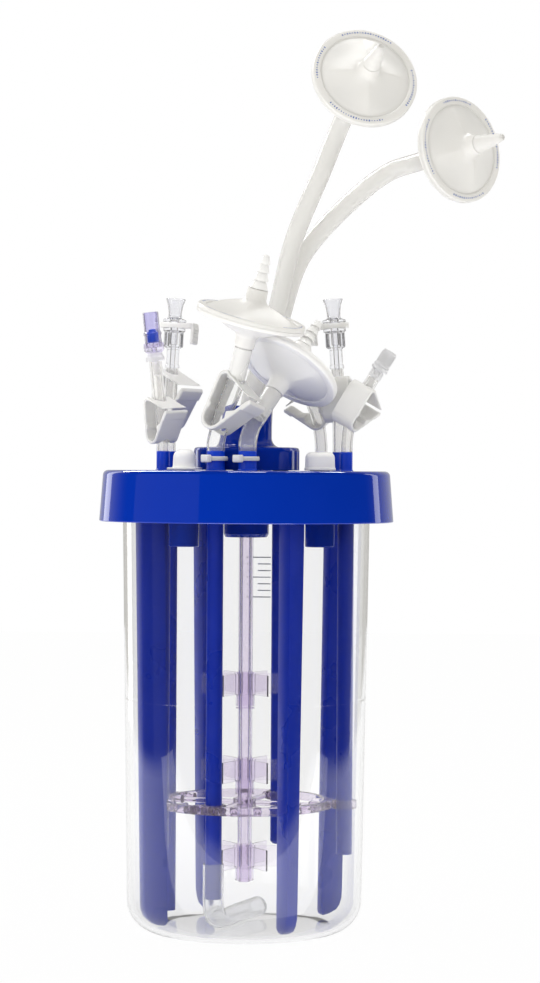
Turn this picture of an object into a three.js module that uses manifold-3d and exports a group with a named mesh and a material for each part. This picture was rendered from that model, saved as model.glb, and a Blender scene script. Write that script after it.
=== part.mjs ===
// Bench bioreactor: a clear stirred vessel under a moulded head plate with its lines and vent filters.
// Millimetres, +Z up. The origin is the centre of the vessel's flat base.
import * as THREE from 'three';
import { mergeVertices } from 'three/addons/utils/BufferGeometryUtils.js';
import Module from 'manifold-3d';

const wasm = await Module();
wasm.setup();

// ---- fits --------------------------------------------------------------------------------------
const seatGap = 0.3;          // between two pieces that rest or press on each other
const runningGap = 0.6;       // between the turning stirrer and what it turns in

// ---- vessel ------------------------------------------------------------------------------------
const vesselHeight = 260;
const footRadius = 68;
const mouthRadius = 71.8;
const vesselWall = 2.5;
const cornerRadius = 18;
const rimRadius = 79.3;
const rimThickness = 4.5;

// ---- head plate --------------------------------------------------------------------------------
const plateThickness = 6;
const skirtDepth = 29.5;
const skirtWall = 3.9;
const skirtDraft = 2;
const plateEdgeRound = 3;
const bossRadius = 13;
const bossDepth = 32.5;
const sensorBoreRadius = 6;
const sensorBossRadius = 8.7;
const sensorBossDepth = 37.5;
const spigotLength = 8;
const spigotBoreRadius = 1.4;
const stubHeight = 11.5;

// ---- drive housing, hub and shaft ----------------------------------------------------------------
const drumRadius = 30.6;
const drumHeight = 13.5;
const towerRadius = 14.5;
const towerHeight = 37.5;
const housingWall = 2.2;
const filletRadius = 5;
const bearingWall = 3.2;
const bearingFlange = 1.5;
const shaftRadius = 4.15;
const shaftBoreRadius = 2.3;
const shaftTipDrop = 0.9;      // below the collar of the lowest impeller
const hubGrip = 16;
const hubLength = 28;

// ---- impellers -----------------------------------------------------------------------------------
const impellerPitch = 50;
const impellerTieGap = 2.4;    // between the middle impeller's collar and the tie ring
const impellerRadius = 25.5;
const bladeCount = 6;
const bladeHeight = 12;
const bladeThickness = 1;
const impellerHubRadius = 6;
const impellerHubHeight = 13.2;
const collarRadius = 5.4;
const collarHeight = 7.5;

// ---- baffles -------------------------------------------------------------------------------------
const baffleAngles = [25, 115, 205, 295];
const baffleWidth = 14;
const baffleTopThickness = 9.5;
const baffleFootThickness = 6.5;
const baffleWallGap = 2.2;
const baffleFoot = 4.6;
const baffleToe = 13;
const baffleHeel = 2.5;

// ---- dip tubes and sparge hose -------------------------------------------------------------------
const dipRadius = 4.65;
const dipBoreRadius = 3;
const harvestFoot = 45;
const harvestWallGap = 3.5;    // between the outermost dip tube and the vessel wall at its foot
const spargeHoseWall = 1;
const spargeHoseTop = 42.7;
const spargeRiserFoot = 23;
const spargeHeight = 9.6;
const spargeEnd = { x: 8, y: 26 };

// ---- tie ring ------------------------------------------------------------------------------------
const tieHeight = 74;
const tieThickness = 5;
const tieInner = 45.6;
const tieOuter = 49.6;
const tieHubWall = 2;
const spokeWidth = 2.6;
const eyeWall = 2.2;
const prongRadius = 2.3;
const prongBoreRadius = 0.9;
const prongLength = 12;
const prongSpread = 13;

// ---- lines ---------------------------------------------------------------------------------------
const smallLine = { radius: 3.7, bore: 2.3, sides: 8 };
const frontLine = { radius: 5.2, bore: 4.2, sides: 8 };
const ventLine = { radius: 5.5, bore: 4.2, sides: 8 };
const tieBandWidth = 2.5;
const tieBandThickness = 1.3;
const tieBandRise = 5.5;       // above the head plate
const tieHead = { depth: 3.5, width: 6, height: 4.3, turn: 45 };

// ---- vent filters --------------------------------------------------------------------------------
const filterRadius = 31.3;
const filterRimWidth = 4.4;
const filterRimHeight = 2.4;
const filterConeHeight = 9.5;
const filterWall = 1.4;
const filterNeckRadius = 5.8;
const filterCrease = 2;
const neckLength = 8;
const barbCount = 4;
const barbPitch = 4.8;
const openBarb = { radius: 5.4, flare: 1, stepDown: 0.75 };
const linedBarb = { radius: 3.8, flare: 0.6, stepDown: 0.1 };
const nippleBoreRadius = 1.4;
const membraneThickness = 0.6;

// ---- pinch clamps --------------------------------------------------------------------------------
const clampLength = 27;
const clampWidth = 16;
const clampWall = 1.6;
const clampBack = 6.5;         // from the tube's axis to the outside of the back arm
const clampBend = 6;           // outer radius of the bend at the foot
const clampCorner = 4;
const clampHook = { reach: 14.2, drop: 7.5 };
const clampLever = { angle: 53, length: 18.5, step: 0.7 };
const longClamp = 1.3;         // a long clamp is this much larger in outline, and as wide

// ---- couplings and luer fittings -----------------------------------------------------------------
const tailLength = 8;
const latchTravel = 2;
const pistonTravel = 3;
const valveFloor = 8;
const tailBoreRadius = 1.1;
const couplingMouth = { radius: 5.8, wall: 0.7, top: 41 };

// ---- materials -----------------------------------------------------------------------------------
const plastic = (name, color, roughness, extra = {}) =>
  new THREE.MeshStandardMaterial({ name, color, roughness, metalness: 0, ...extra });
const clearPlastic = plastic('clear_plastic', 0xe6ecf2, 0.05, { transparent: true, opacity: 0.25 });
const bluePlastic = plastic('blue_plastic', 0x0a2c9c, 0.22);
const violetPlastic = plastic('violet_plastic', 0xb9a2d6, 0.12, { transparent: true, opacity: 0.6 });
const whitePlastic = plastic('white_plastic', 0xf0efec, 0.4);
const frostPlastic = plastic('frosted_plastic', 0xe2e3e2, 0.35, { transparent: true, opacity: 0.7 });
const softTubing = plastic('soft_tubing', 0xe4e3df, 0.3, { transparent: true, opacity: 0.6 });
const membraneFelt = plastic('filter_membrane', 0xfafafa, 0.9);
const bearingPlastic = plastic('bearing_plastic', 0xd8d4c8, 0.5);
const deepBluePlastic = plastic('valve_blue', 0x2a4fc4, 0.3);

// ---- geometry helpers ----------------------------------------------------------------------------
const TAU = Math.PI * 2;
const degrees = THREE.MathUtils.degToRad;
const point = (x, y, z) => new THREE.Vector3(x, y, z);

// Keeps positions only, joins shared corners, drops collapsed triangles and turns the faces outwards.
function closed(geometry) {
  const bare = new THREE.BufferGeometry();
  bare.setAttribute('position', geometry.getAttribute('position').clone());
  if (geometry.index) bare.setIndex(geometry.index.clone());
  const merged = mergeVertices(bare, 1e-4);
  const corners = merged.index.array;
  const kept = [];
  for (let i = 0; i < corners.length; i += 3) {
    const [a, b, c] = [corners[i], corners[i + 1], corners[i + 2]];
    if (a !== b && b !== c && c !== a) kept.push(a, b, c);
  }
  merged.setIndex(kept);
  if (volume(merged) < 0) {
    for (let i = 0; i < kept.length; i += 3) [kept[i], kept[i + 1]] = [kept[i + 1], kept[i]];
    merged.setIndex(kept);
  }
  return merged;
}

function volume(geometry) {
  const corner = geometry.getAttribute('position');
  const order = geometry.index.array;
  const [a, b, c] = [point(), point(), point()];
  let sum = 0;
  for (let i = 0; i < order.length; i += 3) {
    a.fromBufferAttribute(corner, order[i]);
    b.fromBufferAttribute(corner, order[i + 1]);
    c.fromBufferAttribute(corner, order[i + 2]);
    sum += a.dot(b.cross(c)) / 6;
  }
  return sum;
}

function toSolid(geometry) {
  const shape = closed(geometry);
  return new wasm.Manifold(new wasm.Mesh({
    numProp: 3,
    vertProperties: new Float32Array(shape.getAttribute('position').array),
    triVerts: new Uint32Array(shape.index.array),
  }));
}

function toGeometry(solid) {
  const mesh = solid.getMesh();
  const geometry = new THREE.BufferGeometry();
  geometry.setAttribute('position', new THREE.BufferAttribute(new Float32Array(mesh.vertProperties), 3));
  geometry.setIndex(new THREE.BufferAttribute(new Uint32Array(mesh.triVerts), 1));
  return geometry;
}

const join = (first, ...rest) => rest.reduce((sum, next) => sum.add(toSolid(next)), toSolid(first));

function cut(solid, ...tools) {
  return tools.reduce((left, tool) => left.subtract(toSolid(tool)), solid);
}

// A body turned about Z from [radius, height] pairs that start and end on the axis, or close.
function turned(profile, sides = 16) {
  const outline = profile.map(([r, z]) => new THREE.Vector2(r, z));
  return new THREE.LatheGeometry(outline, sides).rotateX(Math.PI / 2);
}

const rod = (radius, bottom, top, sides = 12) =>
  turned([[0, bottom], [radius, bottom], [radius, top], [0, top]], sides);

const sleeve = (outer, bore, bottom, top, sides = 12) =>
  turned([[bore, bottom], [outer, bottom], [outer, top], [bore, top], [bore, bottom]], sides);

// Quarter-round points from one angle to another, in degrees.
function arc(r, z, radius, from, to, steps) {
  return Array.from({ length: steps + 1 }, (_, i) => {
    const angle = degrees(from + (to - from) * i / steps);
    return [r + radius * Math.cos(angle), z + radius * Math.sin(angle)];
  });
}

const regular = (radius, sides) => Array.from({ length: sides }, (_, i) =>
  new THREE.Vector2(radius * Math.cos(TAU * i / sides), radius * Math.sin(TAU * i / sides)));

// A round tube along a path; bore 0 makes it solid.
function pipe(path, radius, bore, steps, sides = 10) {
  const section = new THREE.Shape(regular(radius, sides));
  if (bore > 0) section.holes.push(new THREE.Path(regular(bore, sides)));
  return new THREE.ExtrudeGeometry(section, { steps, extrudePath: path, bevelEnabled: false });
}

const curveThrough = points => new THREE.CatmullRomCurve3(points);

const assembly = new THREE.Group();

function addPiece(name, geometry, material, parent = assembly) {
  const mesh = new THREE.Mesh(closed(geometry), material);
  mesh.name = name;
  parent.add(mesh);
  return mesh;
}

const addSolid = (name, solid, material, parent) => addPiece(name, toGeometry(solid), material, parent);

// ---- heights that follow from the sizes above ------------------------------------------------------
const plateUnderside = vesselHeight + seatGap;
const plateTop = plateUnderside + plateThickness;
const skirtBottom = plateTop - skirtDepth;
const lineFoot = plateTop + 1;
const dipTop = plateUnderside - seatGap;
const middleImpeller = tieHeight + tieThickness / 2 + impellerTieGap + collarHeight + impellerHubHeight / 2;
const impellerHeights = {
  impeller_upper: middleImpeller + impellerPitch,
  impeller_middle: middleImpeller,
  impeller_lower: middleImpeller - impellerPitch,
};
const shaftTip = impellerHeights.impeller_lower - impellerHubHeight / 2 - collarHeight - shaftTipDrop;

// Inner radius of the drafted vessel wall at a height.
const outerWallAt = z => footRadius + (mouthRadius - footRadius) * (z - cornerRadius) / (vesselHeight - cornerRadius);
const innerWallAt = z => outerWallAt(z) - vesselWall;

// ---- ports on the head plate -----------------------------------------------------------------------
const harvestReach = innerWallAt(harvestFoot) - dipRadius - harvestWallGap;
const harvestAngle = degrees(-6);

const ports = {
  line_1: { x: -48.4, y: -6, line: smallLine, dip: true },
  line_2: { x: -45.5, y: 28, line: smallLine, dip: true },
  line_3: { x: -17.5, y: -33.8, line: frontLine, dip: true },
  line_4: { x: 0.5, y: -38.2, line: frontLine },
  line_5: {
    x: harvestReach * Math.cos(harvestAngle),
    y: harvestReach * Math.sin(harvestAngle),
    line: smallLine,
    dip: true,
  },
  line_6: { x: 54, y: 16, line: smallLine },
  line_7: { x: 44, y: 31, line: smallLine },
  vent_line_1: { x: -2, y: 42, line: ventLine },
  vent_line_2: { x: 9, y: 55, line: ventLine },
};
const thermowell = { x: 20, y: 38, foot: 45 };
const sensorPorts = { sensor_plug_left: { x: -35.4, y: -27 }, sensor_plug_right: { x: 42, y: -22 } };

// ---- vessel ----------------------------------------------------------------------------------------
function makeVessel() {
  const rimSeat = vesselHeight - rimThickness;
  const innerCorner = cornerRadius - vesselWall;
  return turned([
    [0, 0],
    ...arc(footRadius - cornerRadius, cornerRadius, cornerRadius, -90, 0, 4),
    [outerWallAt(rimSeat), rimSeat],
    [rimRadius, rimSeat],
    [rimRadius, vesselHeight],
    [innerWallAt(vesselHeight), vesselHeight],
    ...arc(footRadius - cornerRadius, cornerRadius, innerCorner, 0, -90, 4),
    [0, vesselWall],
  ], 40);
}

// ---- head plate ------------------------------------------------------------------------------------
function makeHeadPlate() {
  const skirtTopRadius = rimRadius + 1 + skirtWall - skirtDraft / 2;
  const skirtFootRadius = skirtTopRadius + skirtDraft;
  const bearingBore = shaftRadius + runningGap / 2 + bearingWall + seatGap;
  const cap = turned([
    [bearingBore, plateUnderside - bossDepth],
    [bossRadius - 2, plateUnderside - bossDepth],
    [bossRadius, plateUnderside - bossDepth + 2],
    [bossRadius, plateUnderside],
    [rimRadius + 0.7, plateUnderside],
    [skirtFootRadius - skirtWall, skirtBottom],
    [skirtFootRadius, skirtBottom],
    ...arc(skirtTopRadius - plateEdgeRound, plateTop - plateEdgeRound, plateEdgeRound, 0, 90, 3),
    [bearingBore, plateTop],
    [bearingBore, plateUnderside - bossDepth],
  ], 40);
  let plate = toSolid(cap);
  for (const { x, y, line, dip } of Object.values(ports)) {
    const stubRadius = line.bore - seatGap;
    const barbedStub = turned([
      [0, plateTop - 1],
      [stubRadius - 0.4, plateTop - 1],
      [stubRadius, plateTop + stubHeight - 3],
      [stubRadius - 0.6, plateTop + stubHeight],
      [0, plateTop + stubHeight],
    ], 8);
    plate = plate.add(toSolid(barbedStub.translate(x, y, 0)));
    if (dip) {
      const spigot = rod(dipBoreRadius - seatGap, plateUnderside - spigotLength, plateUnderside + 1, 8);
      plate = plate.add(toSolid(spigot.translate(x, y, 0)));
    }
    const bore = rod(spigotBoreRadius, plateUnderside - spigotLength - 1, plateTop + stubHeight + 1, 6);
    plate = cut(plate, bore.translate(x, y, 0));
  }
  for (const { x, y } of Object.values(sensorPorts)) {
    const bottom = plateUnderside - sensorBossDepth;
    const boss = turned([
      [0, bottom],
      [sensorBossRadius - 1, bottom],
      [sensorBossRadius, bottom + 1],
      [sensorBossRadius, plateUnderside + 1],
      [0, plateUnderside + 1],
    ]);
    plate = plate.add(toSolid(boss.translate(x, y, 0)));
    plate = cut(plate, rod(sensorBoreRadius, bottom - 1, plateTop + 1, 16).translate(x, y, 0));
  }
  const wellHole = rod(dipRadius + seatGap, plateUnderside - 1, plateTop + 1, 12);
  return cut(plate, wellHole.translate(thermowell.x, thermowell.y, 0));
}

// ---- drive housing, hub, bearing and shaft -----------------------------------------------------------
const housingFloor = plateTop + seatGap;

function makeDriveHousing() {
  const drumTop = plateTop + drumHeight;
  const towerTop = plateTop + towerHeight;
  return turned([
    [drumRadius - housingWall, housingFloor],
    [drumRadius, housingFloor],
    [drumRadius, drumTop - 1.5],
    [drumRadius - 1.5, drumTop],
    ...arc(towerRadius + filletRadius, drumTop + filletRadius, filletRadius, -90, -180, 3),
    [towerRadius, towerTop - 2],
    [towerRadius - 2, towerTop],
    [0, towerTop],
    [0, towerTop - housingWall],
    [towerRadius - housingWall, towerTop - housingWall],
    [towerRadius - housingWall, drumTop - housingWall],
    [drumRadius - housingWall, drumTop - housingWall],
    [drumRadius - housingWall, housingFloor],
  ], 24);
}

function makeShaftBearing() {
  const bore = shaftRadius + runningGap / 2;
  const outer = bore + bearingWall;
  return turned([
    [bore, plateUnderside - bossDepth],
    [outer, plateUnderside - bossDepth],
    [outer, plateTop + seatGap],
    [outer + 2.5, plateTop + seatGap],
    [outer + 2.5, plateTop + seatGap + bearingFlange],
    [bore, plateTop + seatGap + bearingFlange],
    [bore, plateUnderside - bossDepth],
  ]);
}

const hubFoot = plateTop + seatGap + bearingFlange + seatGap;

function makeDriveHub() {
  const radius = towerRadius - housingWall - runningGap;
  const grip = shaftRadius + seatGap;
  return turned([
    [grip, hubFoot],
    [radius - 3, hubFoot],
    [radius - 3, hubFoot + 5],
    [radius, hubFoot + 7],
    [radius, hubFoot + hubLength],
    [0, hubFoot + hubLength],
    [0, hubFoot + hubGrip + seatGap],
    [grip, hubFoot + hubGrip + seatGap],
    [grip, hubFoot],
  ]);
}

function makeShaft() {
  const top = hubFoot + hubGrip;
  return turned([
    [shaftBoreRadius, shaftTip],
    [shaftRadius - 1, shaftTip],
    [shaftRadius, shaftTip + 2],
    [shaftRadius, top],
    [shaftBoreRadius, top],
    [shaftBoreRadius, shaftTip],
  ]);
}

// ---- impellers: a grooved hub with six flat blades ---------------------------------------------------
function makeImpeller() {
  const bore = shaftRadius + seatGap;
  const half = impellerHubHeight / 2;
  const hub = turned([
    [0, -half - collarHeight],
    [collarRadius, -half - collarHeight],
    [collarRadius, -half],
    [impellerHubRadius, -half],
    [impellerHubRadius, half - 0.8],
    [impellerHubRadius - 0.8, half],
    [0, half],
  ]);
  const bladeLength = impellerRadius - bore;
  const blades = Array.from({ length: bladeCount }, (_, i) =>
    new THREE.BoxGeometry(bladeLength, bladeThickness, bladeHeight)
      .translate(bore + bladeLength / 2, 0, 0)
      .rotateZ(TAU * i / bladeCount));
  return cut(join(hub, ...blades), rod(bore, -half - collarHeight - 1, half + 1, 16));
}

// ---- baffles: drafted blades with a rounded toe --------------------------------------------------------
function makeBaffle() {
  const outerTop = innerWallAt(dipTop) - baffleWallGap;
  const outerFoot = innerWallAt(cornerRadius) - baffleWallGap;
  const innerTop = outerTop - baffleWidth;
  const innerFoot = outerFoot - baffleWidth;
  const outline = [
    [innerTop, dipTop],
    [innerFoot, baffleFoot + baffleHeel],
    ...arc(innerFoot + baffleHeel, baffleFoot + baffleHeel, baffleHeel, -150, -90, 2),
    ...arc(outerFoot - baffleToe, baffleFoot + baffleToe, baffleToe, -80, 0, 5),
    [outerTop, dipTop],
  ].map(([r, z]) => new THREE.Vector2(r, z));
  const slab = new THREE.ExtrudeGeometry(new THREE.Shape(outline), { depth: 1, bevelEnabled: false });
  const corner = slab.getAttribute('position');
  for (let i = 0; i < corner.count; i++) {
    const [r, z, side] = [corner.getX(i), corner.getY(i), corner.getZ(i) - 0.5];
    const thickness = THREE.MathUtils.lerp(baffleFootThickness, baffleTopThickness, z / dipTop);
    corner.setXYZ(i, r, side * thickness, z);
  }
  return slab;
}

// ---- dip tubes and sparge hose -----------------------------------------------------------------------
const dipTubes = {
  sparge_riser: { port: ports.line_3, foot: spargeRiserFoot },
  harvest_tube: { port: ports.line_5, foot: harvestFoot },
  sample_tube: { port: ports.line_1, foot: 48 },
  drain_tube: { port: ports.line_2, foot: 7 },
};

function makeThermowell() {
  const collar = housingFloor;
  return turned([
    [0, thermowell.foot],
    [dipRadius - 1.5, thermowell.foot],
    [dipRadius, thermowell.foot + 1.5],
    [dipRadius, collar],
    [dipRadius + 2, collar],
    [dipRadius + 2, collar + 2],
    [dipBoreRadius, collar + 2],
    [dipBoreRadius, thermowell.foot + 2],
    [0, thermowell.foot + 2],
  ], 12);
}

// The hose slips over the riser, turns under the lowest impeller and is closed at its far end.
function makeSpargeHose() {
  const { x, y } = ports.line_3;
  const bore = dipRadius + seatGap;
  const radius = bore + spargeHoseWall;
  const run = point(spargeEnd.x - x, spargeEnd.y - y, 0);
  const step = run.clone().normalize();
  const along = distance => point(x, y, spargeHeight).addScaledVector(step, distance);
  const bend = 13;
  const drop = new THREE.LineCurve3(point(x, y, spargeHoseTop), point(x, y, spargeHeight + bend));
  const elbow = new THREE.QuadraticBezierCurve3(drop.v2, point(x, y, spargeHeight), along(bend));
  const foot = new THREE.LineCurve3(along(bend), along(run.length()));
  const route = curveThrough([
    drop.v1, drop.getPoint(0.5), drop.v2,
    elbow.getPoint(0.33), elbow.getPoint(0.67),
    foot.v1, foot.getPoint(0.5), foot.v2,
  ]);
  const hose = toSolid(pipe(route, radius, bore, 9, 10));
  const plug = pipe(new THREE.LineCurve3(along(run.length() - 3), along(run.length() + 1)), bore + 0.5, 0, 1, 10);
  return hose.add(toSolid(plug));
}

// ---- tie ring: eyes round the dip tubes and pairs of hollow prongs ------------------------------------
const guidedTubes = [
  ...Object.values(dipTubes).map(({ port }) => port),
  thermowell,
];
const prongStations = [ports.line_3, ports.line_4, sensorPorts.sensor_plug_right, ports.line_5,
  thermowell, ports.line_2, { x: -33, y: -30 }];

function makeTieRing() {
  const low = tieHeight - tieThickness / 2;
  const high = tieHeight + tieThickness / 2;
  const hubBore = shaftRadius + runningGap;
  const pieces = [sleeve(tieOuter, tieInner, low, high, 30)];
  pieces.push(rod(hubBore + tieHubWall, low, high, 12));
  for (const angle of [70, 160, 250, 340]) {
    const length = tieInner + 1 - hubBore;
    const spoke = new THREE.BoxGeometry(length, spokeWidth, tieThickness);
    pieces.push(spoke.translate(hubBore + length / 2, 0, tieHeight).rotateZ(degrees(angle)));
  }
  for (const { x, y } of guidedTubes) {
    pieces.push(rod(dipRadius + seatGap + eyeWall, low, high, 10).translate(x, y, 0));
    const reach = Math.hypot(x, y);
    const from = Math.min(reach, tieInner);
    const to = Math.max(reach, tieOuter);
    const arm = new THREE.BoxGeometry(to - from, spokeWidth * 2, tieThickness);
    pieces.push(arm.translate((from + to) / 2, 0, tieHeight).rotateZ(Math.atan2(y, x)));
  }
  const bores = [rod(hubBore, low - 2, high + 2, 12)];
  for (const { x, y } of prongStations) {
    for (const side of [-1, 1]) {
      const start = tieOuter - prongLength + 1;
      const place = shape => shape.rotateY(Math.PI / 2)
        .translate(0, side * prongSpread / 2, tieHeight)
        .rotateZ(Math.atan2(y, x));
      pieces.push(place(rod(prongRadius, start, start + prongLength, 6)));
      bores.push(place(rod(prongBoreRadius, start + prongLength / 2, start + prongLength + 1, 4)));
    }
  }
  for (const { x, y } of guidedTubes) {
    bores.push(rod(dipRadius + seatGap, low - 2, high + 2, 12).translate(x, y, 0));
  }
  return cut(join(...pieces), ...bores);
}

// ---- sensor port plugs -------------------------------------------------------------------------------
function makeSensorPlug(headRadius, headHeight, domeRadius, flangeHeight) {
  const foot = housingFloor;
  const stem = sensorBoreRadius - seatGap;
  return turned([
    [0, foot - 22],
    [stem - 1, foot - 22],
    [stem, foot - 21],
    [stem, foot],
    [headRadius, foot],
    [headRadius, foot + flangeHeight],
    [domeRadius, foot + flangeHeight],
    [domeRadius, foot + headHeight - 3],
    ...arc(domeRadius - 3, foot + headHeight - 3, 3, 30, 90, 2),
    [0, foot + headHeight],
  ]);
}

// ---- lines -------------------------------------------------------------------------------------------
// A line starts upright over its stub and runs through points given from its port: right, back, up.
const fromPort = (port, right, back, rise) => point(port.x + right, port.y + back, plateTop + rise);

function linePath(port, points) {
  const upright = [lineFoot - plateTop, stubHeight / 2, stubHeight + 0.5, stubHeight + 4];
  return curveThrough([...upright.map(rise => fromPort(port, 0, 0, rise)), ...points]);
}

function makeZipTie(port) {
  const inner = port.line.radius + seatGap;
  const outer = inner + tieBandThickness;
  const bottom = plateTop + tieBandRise;
  const band = sleeve(outer, inner, bottom, bottom + tieBandWidth, 14);
  const head = new THREE.BoxGeometry(tieHead.depth, tieHead.width, tieHead.height)
    .translate(-outer - tieHead.depth * 0.3, 0, bottom + tieBandWidth / 2)
    .rotateZ(degrees(tieHead.turn));
  const core = rod(inner, bottom - tieHead.height, bottom + 2 * tieHead.height, 14);
  return cut(join(band, head), core).translate([port.x, port.y, 0]);
}

// ---- vent filters ------------------------------------------------------------------------------------
// One moulded half of a disc filter: rim, creased cone, neck and a barbed nipple, mid-plane at z = 0.
// The open nipple in front has wide barbs; the one at the back fits the bore of its line.
function makeFilterShell(barb) {
  const split = seatGap / 2;
  const coneFoot = filterRadius - filterRimWidth;
  const hollowFoot = filterRadius - filterRimWidth - 1;
  const neckFoot = filterConeHeight;
  const shell = turned([
    [hollowFoot, split],
    [filterRadius, split],
    [filterRadius - 0.3, filterRimHeight],
    [coneFoot, filterRimHeight],
    [coneFoot * 0.62, THREE.MathUtils.lerp(filterRimHeight, neckFoot, 0.42)],
    [filterNeckRadius + 0.8, neckFoot],
    [filterNeckRadius, neckFoot + neckLength],
    [0, neckFoot + neckLength],
    [0, neckFoot - filterWall],
    [hollowFoot, split + 0.9],
    [hollowFoot, split],
  ], 16);
  // The cone is drawn towards a four-sided pyramid: its ridges stand proud, a quarter turn apart.
  const corner = shell.getAttribute('position');
  for (let i = 0; i < corner.count; i++) {
    const [x, y, z] = [corner.getX(i), corner.getY(i), corner.getZ(i)];
    const midCone = Math.abs(Math.hypot(x, y) - coneFoot * 0.62) < 0.01;
    if (!midCone) continue;
    const towardsRidge = 1 - Math.max(Math.abs(x), Math.abs(y)) / Math.hypot(x, y);
    corner.setZ(i, z + filterCrease * (towardsRidge / (1 - Math.SQRT1_2) - 0.5));
  }
  const barbFoot = neckFoot + neckLength;
  const nipple = [[0, barbFoot - 1], [barb.radius, barbFoot - 1]];
  for (let i = 0; i < barbCount; i++) {
    const wide = barb.radius - barb.stepDown * i;
    nipple.push([wide, barbFoot + barbPitch * i], [wide - barb.flare, barbFoot + barbPitch * (i + 1)]);
  }
  const tip = barbFoot + barbPitch * barbCount;
  nipple.push([0, tip]);
  const bore = rod(nippleBoreRadius, neckFoot - filterWall - 2, tip + 1, 6);
  return cut(join(shell, turned(nipple, 8)), bore);
}

const frontShell = makeFilterShell(openBarb);
const rearShell = makeFilterShell(linedBarb);
const lineSeat = filterConeHeight + neckLength + seatGap;
const nippleTip = filterConeHeight + neckLength + barbPitch * barbCount;

const filters = {
  filter_1: { centre: point(66.9, 0, plateTop + 227.7), facing: point(0.22, -0.89, 0.37) },
  filter_2: { centre: point(123.2, 15, plateTop + 188.4), facing: point(0.63, -0.77, 0.12) },
  filter_3: { centre: point(2, -41, plateTop + 86.2), facing: point(0.234, -0.19, 0.953) },
  filter_4: { centre: point(23.8, -6, plateTop + 58.7), facing: point(0.49, 0.4, 0.775) },
};

function addFilter(name, { centre, facing }) {
  const group = new THREE.Group();
  group.position.copy(centre);
  group.quaternion.setFromUnitVectors(point(0, 0, 1), facing.clone().normalize());
  addSolid(`${name}_front_shell`, frontShell, whitePlastic, group);
  const rear = addSolid(`${name}_rear_shell`, rearShell, whitePlastic, group);
  rear.rotation.x = Math.PI;
  const membrane = rod(filterRadius - filterRimWidth - 1 - 2 * seatGap, -membraneThickness / 2, membraneThickness / 2, 16);
  addPiece(`${name}_membrane`, membrane, membraneFelt, group);
  assembly.add(group);
}

// Points that lead a line straight off the rear nipple of a filter, from free run to seat.
function behindFilter({ centre, facing }) {
  const outwards = facing.clone().normalize().negate();
  return [nippleTip + 5, nippleTip + 0.5, (lineSeat + nippleTip) / 2, lineSeat]
    .map(distance => centre.clone().addScaledVector(outwards, distance));
}

const lines = {
  line_1: { steps: 6, route: [[-1.2, 0, 34], [-3.2, -0.5, 50], [-4.6, -1, 62.7]] },
  line_2: { steps: 6, route: [[0.2, 0, 34], [0.6, 0, 48], [1.2, 0, 60]] },
  line_3: { steps: 12, route: [[4.3, 0.8, 32.7]], filter: filters.filter_3 },
  line_4: { steps: 10, route: [], filter: filters.filter_4 },
  line_5: { steps: 6, route: [[2.5, 0, 31.7], [8.5, 0, 42.7], [15.5, 0, 53.7]] },
  line_6: { steps: 6, route: [[-0.2, 0, 33.7], [-0.6, 0, 47.7], [-1.4, 0, 59.7]] },
  line_7: { steps: 6, route: [[-2, -1, 29.7], [-6.5, -2, 42.7], [-10, -3, 53.7]] },
  vent_line_1: {
    steps: 15,
    route: [[5, 1, 45.7], [18.8, 3, 92.7], [29.4, 3, 137.7], [46, 1, 178.7], [53, 2.5, 196.7],
      [57.5, 0, 207.7]],
    filter: filters.filter_1,
  },
  vent_line_2: {
    steps: 17,
    route: [[2.5, 1.5, 49.7], [11.6, 3, 93.7], [22, 3, 125.7], [35.7, 2, 144.7], [63, -1, 170.7],
      [77, -1, 180.2]],
    filter: filters.filter_2,
  },
};

for (const [name, entry] of Object.entries(lines)) {
  entry.port = ports[name];
  const route = entry.route.map(offset => fromPort(entry.port, ...offset));
  entry.path = linePath(entry.port, [...route, ...(entry.filter ? behindFilter(entry.filter) : [])]);
  entry.size = entry.port.line;
}

// ---- pinch clamps: one strip with a back arm, a hook over the top, a bend and a lever -----------------
// The tube runs along z at x = 0 and the lever leaves the bend towards +x.
function makeClamp(scale) {
  const half = clampLength / 2;
  const back = -clampBack;
  const bend = { x: back + clampBend, z: -half + clampBend };
  const corner = { x: back + clampCorner, z: half - clampCorner };
  const leverStart = clampLever.angle - 90;
  const along = [Math.cos(degrees(clampLever.angle)), Math.sin(degrees(clampLever.angle))];
  // A point on the lever: so far along it from the bend, and so far in from its outer face.
  const onLever = (distance, depth) => {
    const angle = degrees(leverStart);
    const radius = clampBend - depth;
    return [
      bend.x + radius * Math.cos(angle) + distance * along[0],
      bend.z + radius * Math.sin(angle) + distance * along[1],
    ];
  };
  const { reach, drop } = clampHook;
  const { length, step } = clampLever;
  const inside = back + clampWall;
  const outline = [
    [reach, half - drop],
    ...arc(corner.x, corner.z, clampCorner, 90, 180, 3),
    ...arc(bend.x, bend.z, clampBend, 180, 360 + leverStart, 5),
    onLever(length * 0.72, 0),
    onLever(length * 0.72, -step),
    onLever(length, -step),
    onLever(length + 1, clampWall * 0.6),
    onLever(length - 1.4, clampWall),
    onLever(length * 0.56, clampWall),
    onLever(length * 0.36, clampWall + 2.2),
    onLever(length * 0.25, clampWall),
    ...arc(bend.x, bend.z, clampBend - clampWall, leverStart, -180, 5),
    [inside, -5.5],
    [inside + 0.8, -4.2],
    [inside + 0.8, -2.8],
    [inside, -1.5],
    ...arc(corner.x, corner.z, clampCorner - clampWall, 180, 90, 3),
    [reach - 1.6, half - drop + 0.1],
  ].map(([x, z]) => new THREE.Vector2(x * scale, z * scale));
  return new THREE.ExtrudeGeometry(new THREE.Shape(outline), { depth: clampWidth, bevelEnabled: false })
    .translate(0, 0, -clampWidth / 2)
    .rotateX(Math.PI / 2);
}

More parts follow.
